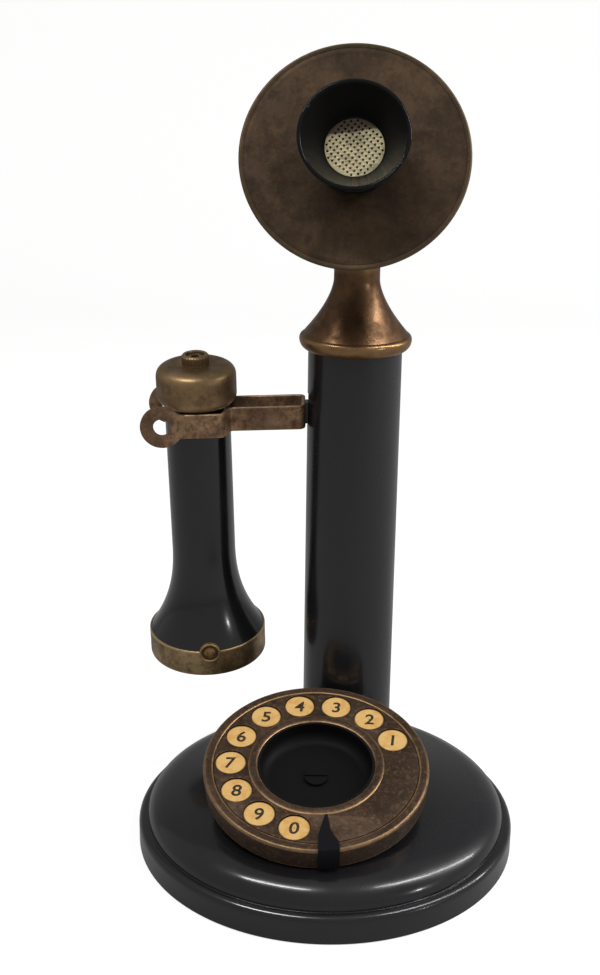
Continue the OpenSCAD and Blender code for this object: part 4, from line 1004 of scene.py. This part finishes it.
CAP_HIGH = 14.8
CAP_WALL = 1.6
CAP_OUT = 2.65
CAP_SEAT = 5.254
CAP_LOW_ROUND = 3.5
CAP_TOP_ROUND = 4.6
CAP_TOP_RUN = 6.0
CAP_TOP_POWER = 2.5
KNOB_RADIUS = 5.1
KNOB_HIGH = 3.9
KNOB_BORE = 1.6
KNOB_FOOT = 0.3
KNOB_CUT = 0.5
KNOB_WALL = 1.5
KNOB_SLOPE = 0.2
KNOB_SUNK = 0.8
KNOB_TEETH = 26
TOOTH = 0.10
TOOTH_STEEP = 1.4
BARREL_LONG = 95.8
BARREL_WALL = 2.4
BARREL_PLAY = 0.3
BARREL_END = 3.0
FLARE_LONG = 36.0
BARREL_POWER = 2.4
RING_WALL = 0.55
RING_HIGH = 11.0
RING_TOP_ROUND = 0.28
RING_LOW_ROUND = 1.2
RING_BAND = 1.8
RING_FLOOR = 0.8
EAR_HOLE = 6.0
EAR_ROUND = 0.6
EAR_DISH_END = 8.0
EAR_PLAY = 0.1
EAR_RIM = 2.4
EAR_DEPTH = 3.0
EAR_TOP = 0.4
LUG_ANGLE = -83.0
LUG_RISE = 2.1
LUG_DROP = 1.9
LUG_RADIUS = 4.1
LUG_HIGH = 1.6
LUG_ROUND = 0.45
LUG_RIM = 1.2
LUG_SUNK = 0.55
LUG_FLOOR = 0.5
LUG_DOME = 2.0
LUG_LIFT = 0.02
PIN_RADIUS = 0.88
PIN_IN, PIN_OUT = -3.2, 0.3


def receiver_place():
    """Where the hung receiver stands: its cap's lower edge rests on the fork's arms."""
    lean = RECEIVER_LEAN - HOOK_ROLL
    return FORK @ at([-RECEIVER_REACH, -CAP_SEAT * math.tan(math.radians(lean)), CAP_SEAT], (-HOOK_ROLL, "X"),
                     (HOOK_DROOP - RECEIVER_SIDE_LEAN, "Y"), (RECEIVER_LEAN, "X"))


def barrel_outline(r, end_r):
    """Tube whose radius grows as a power of the distance towards its lower end."""
    t = np.linspace(0, 1, 40)
    outer = np.column_stack([r + (end_r - r) * t ** BARREL_POWER, FLARE_LONG * (1 - t) - BARREL_LONG])
    top, end = CAP_HIGH - CAP_WALL - BARREL_PLAY, -BARREL_LONG - BARREL_END
    return join_outline((r, top), outer, (end_r, end), (end_r - BARREL_WALL, end),
                        (outer - [BARREL_WALL, 0])[::-1], (r - BARREL_WALL, top))


def cap_outline(bore):
    """Cap with a round lower edge cut off at its bore and a superellipse shoulder."""
    cap_r, low = bore + CAP_OUT, CAP_LOW_ROUND
    start = -math.degrees(math.acos((bore - cap_r + low) / low))
    shoulder = arc(0, 0, 1, 1, 0, 90, 24).clip(0, 1) ** (2 / CAP_TOP_POWER) * [CAP_TOP_RUN, CAP_TOP_ROUND]
    shoulder += [cap_r - CAP_TOP_RUN, CAP_HIGH - CAP_TOP_ROUND]
    return join_outline(
        arc(cap_r - low, low, low, low, start, 0, 16), shoulder,
        (KNOB_BORE, CAP_HIGH), (KNOB_BORE, CAP_HIGH - CAP_WALL), (bore, CAP_HIGH - CAP_WALL))


def ring_outline(ear_r, ear_in):
    """Straight band with a crisp top, a rounded lower edge and a short floor."""
    low = -BARREL_LONG - RING_HIGH
    return join_outline(
        (ear_in, -BARREL_LONG), corner(ear_r, -BARREL_LONG, RING_TOP_ROUND, 0, 6)[::-1],
        (ear_r, low + RING_BAND), corner(ear_r, low, RING_LOW_ROUND, -90, 10)[::-1],
        (ear_in - RING_LOW_ROUND, low),
        (ear_in - RING_LOW_ROUND, low + RING_FLOOR), (ear_in, low + RING_FLOOR))


def ear_outline(ear_in):
    """Ear piece: a shallow squared-sine dish round a hole with a rounded edge."""
    low, top = -BARREL_LONG - RING_HIGH, -BARREL_LONG - BARREL_END - EAR_TOP
    out, inside = ear_in - EAR_PLAY, ear_in - RING_LOW_ROUND - EAR_PLAY
    rim, floor = inside - EAR_RIM, low + EAR_PLAY
    t = np.linspace(0, 1, 24)
    dish = np.column_stack([rim - (rim - EAR_DISH_END) * t,
                            floor + (EAR_DEPTH - EAR_PLAY) * np.sin(t * math.pi / 2) ** 2])
    return join_outline(
        (EAR_HOLE, top), (out, top), (out, low + RING_FLOOR), (inside, low + RING_FLOOR), (inside, floor),
        dish, corner(EAR_HOLE, low + EAR_DEPTH, EAR_ROUND, -180, 6)[::-1])


def build_receiver(sizes, colours):
    """Hung receiver: black barrel with a flared end, brass cap and knob, worn ear ring and its lug."""
    place = receiver_place()
    r, ear_r, n = sizes.barrel_radius / MM, sizes.ear_radius / MM, sizes.segments
    ear_in = ear_r - RING_WALL
    barrel = turned("barrel", barrel_outline(r, ear_in - EAR_PLAY), place, n)
    ebonite = black_gloss("barrel_ebonite", colours.ebonite, rough=(0.13, 0.26), bump=0.04, dust=0.05)
    place_piece(barrel, "receiver", ebonite, ["receiver_barrel"])
    olive = aged_metal("olive_brass", colours.cap, (0.55, 0.38, 0.18), rough=0.44, metallic=0.8, patina=0.55,
                       wear=0.45, pits=0.4, rust=0.35, contrast=0.4, specks=0.15)
    cap = turned("cap", cap_outline(r + FIT), place, n, wear_spread=1.5)
    place_piece(cap, "receiver", olive, ["receiver_cap"])
    build_knob(place, olive)
    worn = aged_metal("worn_ring_brass", colours.band, (0.70, 0.50, 0.26), rough=0.38, metallic=0.85,
                      patina=0.75, wear=0.7, rust=0.50, pits=0.5, specks=0.5, contrast=0.7)
    ring = turned("ear_band", ring_outline(ear_r, ear_in), place, n, wear_spread=0.6)
    place_piece(ring, "receiver", worn, ["ear_ring"])
    build_lug(place, ear_r)
    ear = turned("ear_piece", ear_outline(ear_in), place, n)
    place_piece(ear, "receiver", ebonite, ["ear_cap"])
    finish_nodes(["receiver_magnet"], plain_metal("magnet_steel", (0.10, 0.11, 0.13), 0.4))
    finish_nodes(["receiver_coils"], cloth_like("coil_winding", (0.30, 0.06, 0.02), 0.6))


def knob_ripple(r, z, t):
    """Upright teeth: a steep cosine round the circle, cut into the wall between foot and top."""
    wall = (r > KNOB_RADIUS - KNOB_FOOT - FIT) & (z > KNOB_FOOT - 0.1) & (z < KNOB_HIGH - KNOB_CUT + 0.1)
    return wall * TOOTH * (np.clip(np.cos(KNOB_TEETH * t) * TOOTH_STEEP, -1, 1)[None, :] - 1)


def build_knob(place, olive):
    """Hollow serrated knob on the cap."""
    top, sunk = KNOB_RADIUS - KNOB_WALL, KNOB_HIGH - KNOB_SUNK
    outline = join_outline(
        (KNOB_BORE, 0), (KNOB_RADIUS - KNOB_FOOT, 0), (KNOB_RADIUS, KNOB_FOOT),
        (KNOB_RADIUS, KNOB_HIGH - KNOB_CUT), (KNOB_RADIUS - KNOB_CUT, KNOB_HIGH), (top, KNOB_HIGH),
        (top - KNOB_SLOPE, sunk), (KNOB_BORE, sunk))
    knob = turned("knob", outline, place @ at([0, 0, CAP_HIGH]), KNOB_TEETH * 12, wear_spread=0.4, margin=0.1,
                  ripple=knob_ripple)
    place_piece(knob, "receiver", olive, ["receiver_knob"])


def build_lug(place, ear_r):
    """Round lug on the ear ring: a raised half-round rim and a low dome in a sunken middle, on a pin."""
    side = place @ spin(LUG_ANGLE)
    out, middle = ear_r + LUG_LIFT, -BARREL_LONG - LUG_DROP
    floor = LUG_HIGH - LUG_FLOOR
    outline = join_outline(
        (0, 0), (LUG_RADIUS, 0),
        arc(LUG_RADIUS - LUG_ROUND, LUG_HIGH - LUG_ROUND, LUG_ROUND, LUG_ROUND, 0, 180),
        (LUG_RADIUS - LUG_RIM, LUG_HIGH - LUG_SUNK), (LUG_DOME + 0.2, floor),
        arc(0, floor, LUG_DOME, LUG_ROUND, 20, 90, 8))
    lug = turned("lug", outline, side @ at([out, 0, middle + LUG_RISE], (90, "Y")), 64)
    pin = rod("pin", PIN_RADIUS, PIN_IN, PIN_OUT, side @ at([out, 0, middle], (90, "Y")), 32)
    speckled = aged_metal("speckled_brass", (0.26, 0.155, 0.065), (0.66, 0.44, 0.20), rough=0.45,
                          metallic=0.7, patina=0.8, wear=0.25, rust=0.8, pits=0.9,
                          rust_colour=(0.06, 0.028, 0.014), specks=0.9)
    place_piece(merge_into("lug", [lug, pin]), "receiver", speckled, ["ring_lug"])


# ---------------- stage

CAMERA_AT = (0.0, -0.4833687, 0.3087733)
CAMERA_RIGHT = (0.999558, 0.027187, 0.011993)
CAMERA_UP = (-0.0202835, 0.3293154, 0.9440021)
LAMP_TARGET = (0, 0, 0.12)
# The stage is in metres.
PAPER, PAPER_SEEN, PAPER_MIRRORED = 0.36, 0.80, 0.10
FLOOR_HALF, FLOOR_CURVE, BACKDROP_AT, BACKDROP_HIGH = 2.2, 0.5, 1.4, 2.4


def build_camera():
    """Camera at the fitted place, with no shift and no depth of field."""
    right, up = Vector(CAMERA_RIGHT).normalized(), Vector(CAMERA_UP)
    back = right.cross(up).normalized()
    up = back.cross(right).normalized()
    turn = Matrix((right, up, back)).transposed().to_4x4()
    data = bpy.data.cameras.new("camera")
    data.lens = 53.407
    data.sensor_width = 36.0
    data.clip_start = 0.01
    camera = add_object("camera", data)
    camera.matrix_world = Matrix.Translation(Vector(CAMERA_AT)) @ turn
    bpy.context.scene.camera = camera


def lamp_facing(name, start, end, width, radiance):
    """Flat lamp between two points that faces the telephone: its power is radiance x pi x area."""
    start, end = Vector(start), Vector(end)
    middle = (start + end) / 2
    along = (end - start).normalized()
    back = middle - Vector(LAMP_TARGET)
    back = (back - along * back.dot(along)).normalized()
    data = bpy.data.lights.new(name, "AREA")
    data.shape = "RECTANGLE"
    data.size, data.size_y = (end - start).length, width
    data.energy = radiance * math.pi * data.size * data.size_y
    turn = Matrix((along, back.cross(along), back)).transposed().to_4x4()
    add_object(name, data).matrix_world = Matrix.Translation(middle) @ turn


def pale_surface(name):
    """Pale paint that takes shadows, with a glow for the camera and a fainter one for mirrors."""
    f = Finish(name)
    f.tree.nodes.clear()
    rays = f.add("ShaderNodeLightPath").outputs
    glow = 0.0
    for kind, strength in (("Camera", PAPER_SEEN), ("Glossy", PAPER_MIRRORED), ("Transmission", PAPER_SEEN)):
        part = f.add("ShaderNodeMath", operation="MULTIPLY_ADD")
        for socket, value in zip(part.inputs, (rays[f"Is {kind} Ray"], strength, glow)):
            f.feed(socket, value)
        glow = part.outputs[0]
    paint = f.feed_named(f.add("ShaderNodeBsdfDiffuse"), Color=(PAPER, PAPER, PAPER))
    light = f.feed_named(f.add("ShaderNodeEmission"), Strength=glow)
    total = f.add("ShaderNodeAddShader")
    f.feed(total.inputs[0], paint.outputs[0])
    f.feed(total.inputs[1], light.outputs[0])
    f.feed(f.add("ShaderNodeOutputMaterial").inputs["Surface"], total.outputs[0])
    return f.material


def build_stage():
    """Pale floor that curves up into a backdrop, soft lamps and a quiet world."""
    bend = corner(BACKDROP_AT, 0, FLOOR_CURVE, -90, 16)
    side = np.vstack([[-FLOOR_HALF, 0.0], bend, [BACKDROP_AT, BACKDROP_HIGH]])
    x = np.linspace(-FLOOR_HALF, FLOOR_HALF, 3)
    points = np.stack([np.repeat(x[:, None], len(side), 1), np.repeat(side[None, :, 0], 3, 0),
                       np.repeat(side[None, :, 1], 3, 0)], -1) / MM
    floor = mesh_piece("floor", points, grid_faces(3, len(side), False, False), sharp=80)
    finish_piece(floor, pale_surface("pale_paper"))
    lamp_facing("window_left", (-0.625, -0.19, 1.0), (-0.116, -0.434, 1.11), 0.07, 32)
    lamp_facing("window_right", (0.42, -0.34, 1.07), (1.09, 0.27, 0.43), 0.07, 27)
    lamp_facing("lamp_front", (0.76, -0.53, 0.29), (0.80, -0.49, 0.29), 0.05, 70)
    world = bpy.data.worlds.new("studio")
    world.use_nodes = True
    sky = world.node_tree.nodes["Background"].inputs
    sky["Color"].default_value = (1.0, 0.99, 0.97, 1)
    sky["Strength"].default_value = 0.38
    bpy.context.scene.world = world
    bpy.context.scene.view_settings.view_transform = "Standard"


# ---------------- add-on

def run(context, *builders):
    """Calls builders with the scene's sizes and colours, for an operator."""
    for build in builders:
        build(context.scene.telephone_sizes, context.scene.telephone_colours)
    return {"FINISHED"}


class TELEPHONE_OT_stage(bpy.types.Operator):
    """Camera, floor, backdrop and lights"""
    bl_idname = "telephone.stage"
    bl_label = "Stage"

    def execute(self, context):
        build_camera()
        build_stage()
        return {"FINISHED"}


class TELEPHONE_OT_base(bpy.types.Operator):
    """Base shell, stem and what the base holds"""
    bl_idname = "telephone.base"
    bl_label = "Base and Stem"

    def execute(self, context):
        return run(context, build_base)


class TELEPHONE_OT_dial(bpy.types.Operator):
    """Dial case, number discs, digits, finger wheel, dish and movement"""
    bl_idname = "telephone.dial"
    bl_label = "Dial"

    def execute(self, context):
        return run(context, build_dial)


class TELEPHONE_OT_hook(bpy.types.Operator):
    """Forked hook and its lever"""
    bl_idname = "telephone.hook"
    bl_label = "Hook"

    def execute(self, context):
        build_hook(context.scene.telephone_colours)
        return {"FINISHED"}


class TELEPHONE_OT_head(bpy.types.Operator):
    """Collar, faceplate, mouthpiece, grille and cup"""
    bl_idname = "telephone.head"
    bl_label = "Collar and Head"

    def execute(self, context):
        return run(context, build_collar, build_faceplate, build_mouthpiece, build_grille)


class TELEPHONE_OT_receiver(bpy.types.Operator):
    """Receiver with its cap, knob, ear ring and lug"""
    bl_idname = "telephone.receiver"
    bl_label = "Receiver"

    def execute(self, context):
        return run(context, build_receiver)


class TELEPHONE_PT_panel(bpy.types.Panel):
    """Sizes, colours and build steps of the telephone"""
    bl_idname = "TELEPHONE_PT_panel"
    bl_label = "Candlestick Telephone"
    bl_space_type = "VIEW_3D"
    bl_region_type = "UI"
    bl_category = "Telephone"

    def draw(self, context):
        for group in (context.scene.telephone_sizes, context.scene.telephone_colours):
            column = self.layout.column()
            for name in group.__annotations__:
                column.prop(group, name)
        for step in STEPS:
            self.layout.operator(step.bl_idname)


STEPS = (TELEPHONE_OT_stage, TELEPHONE_OT_base, TELEPHONE_OT_dial, TELEPHONE_OT_hook, TELEPHONE_OT_head,
         TELEPHONE_OT_receiver)
CLASSES = (TelephoneSizes, TelephoneColours, *STEPS, TELEPHONE_PT_panel)


def register():
    """Registers the classes and gives the scene its sizes and colours."""
    for each in CLASSES:
        bpy.utils.register_class(each)
    bpy.types.Scene.telephone_sizes = PointerProperty(type=TelephoneSizes)
    bpy.types.Scene.telephone_colours = PointerProperty(type=TelephoneColours)


def unregister():
    """Takes away what register added."""
    del bpy.types.Scene.telephone_colours
    del bpy.types.Scene.telephone_sizes
    for each in reversed(CLASSES):
        bpy.utils.unregister_class(each)


def main():
    """Builds the telephone."""
    register()
    bpy.ops.telephone.stage()
    bpy.ops.telephone.base()
    bpy.ops.telephone.dial()
    bpy.ops.telephone.hook()
    bpy.ops.telephone.head()
    bpy.ops.telephone.receiver()


if __name__ == "__main__":
    main()
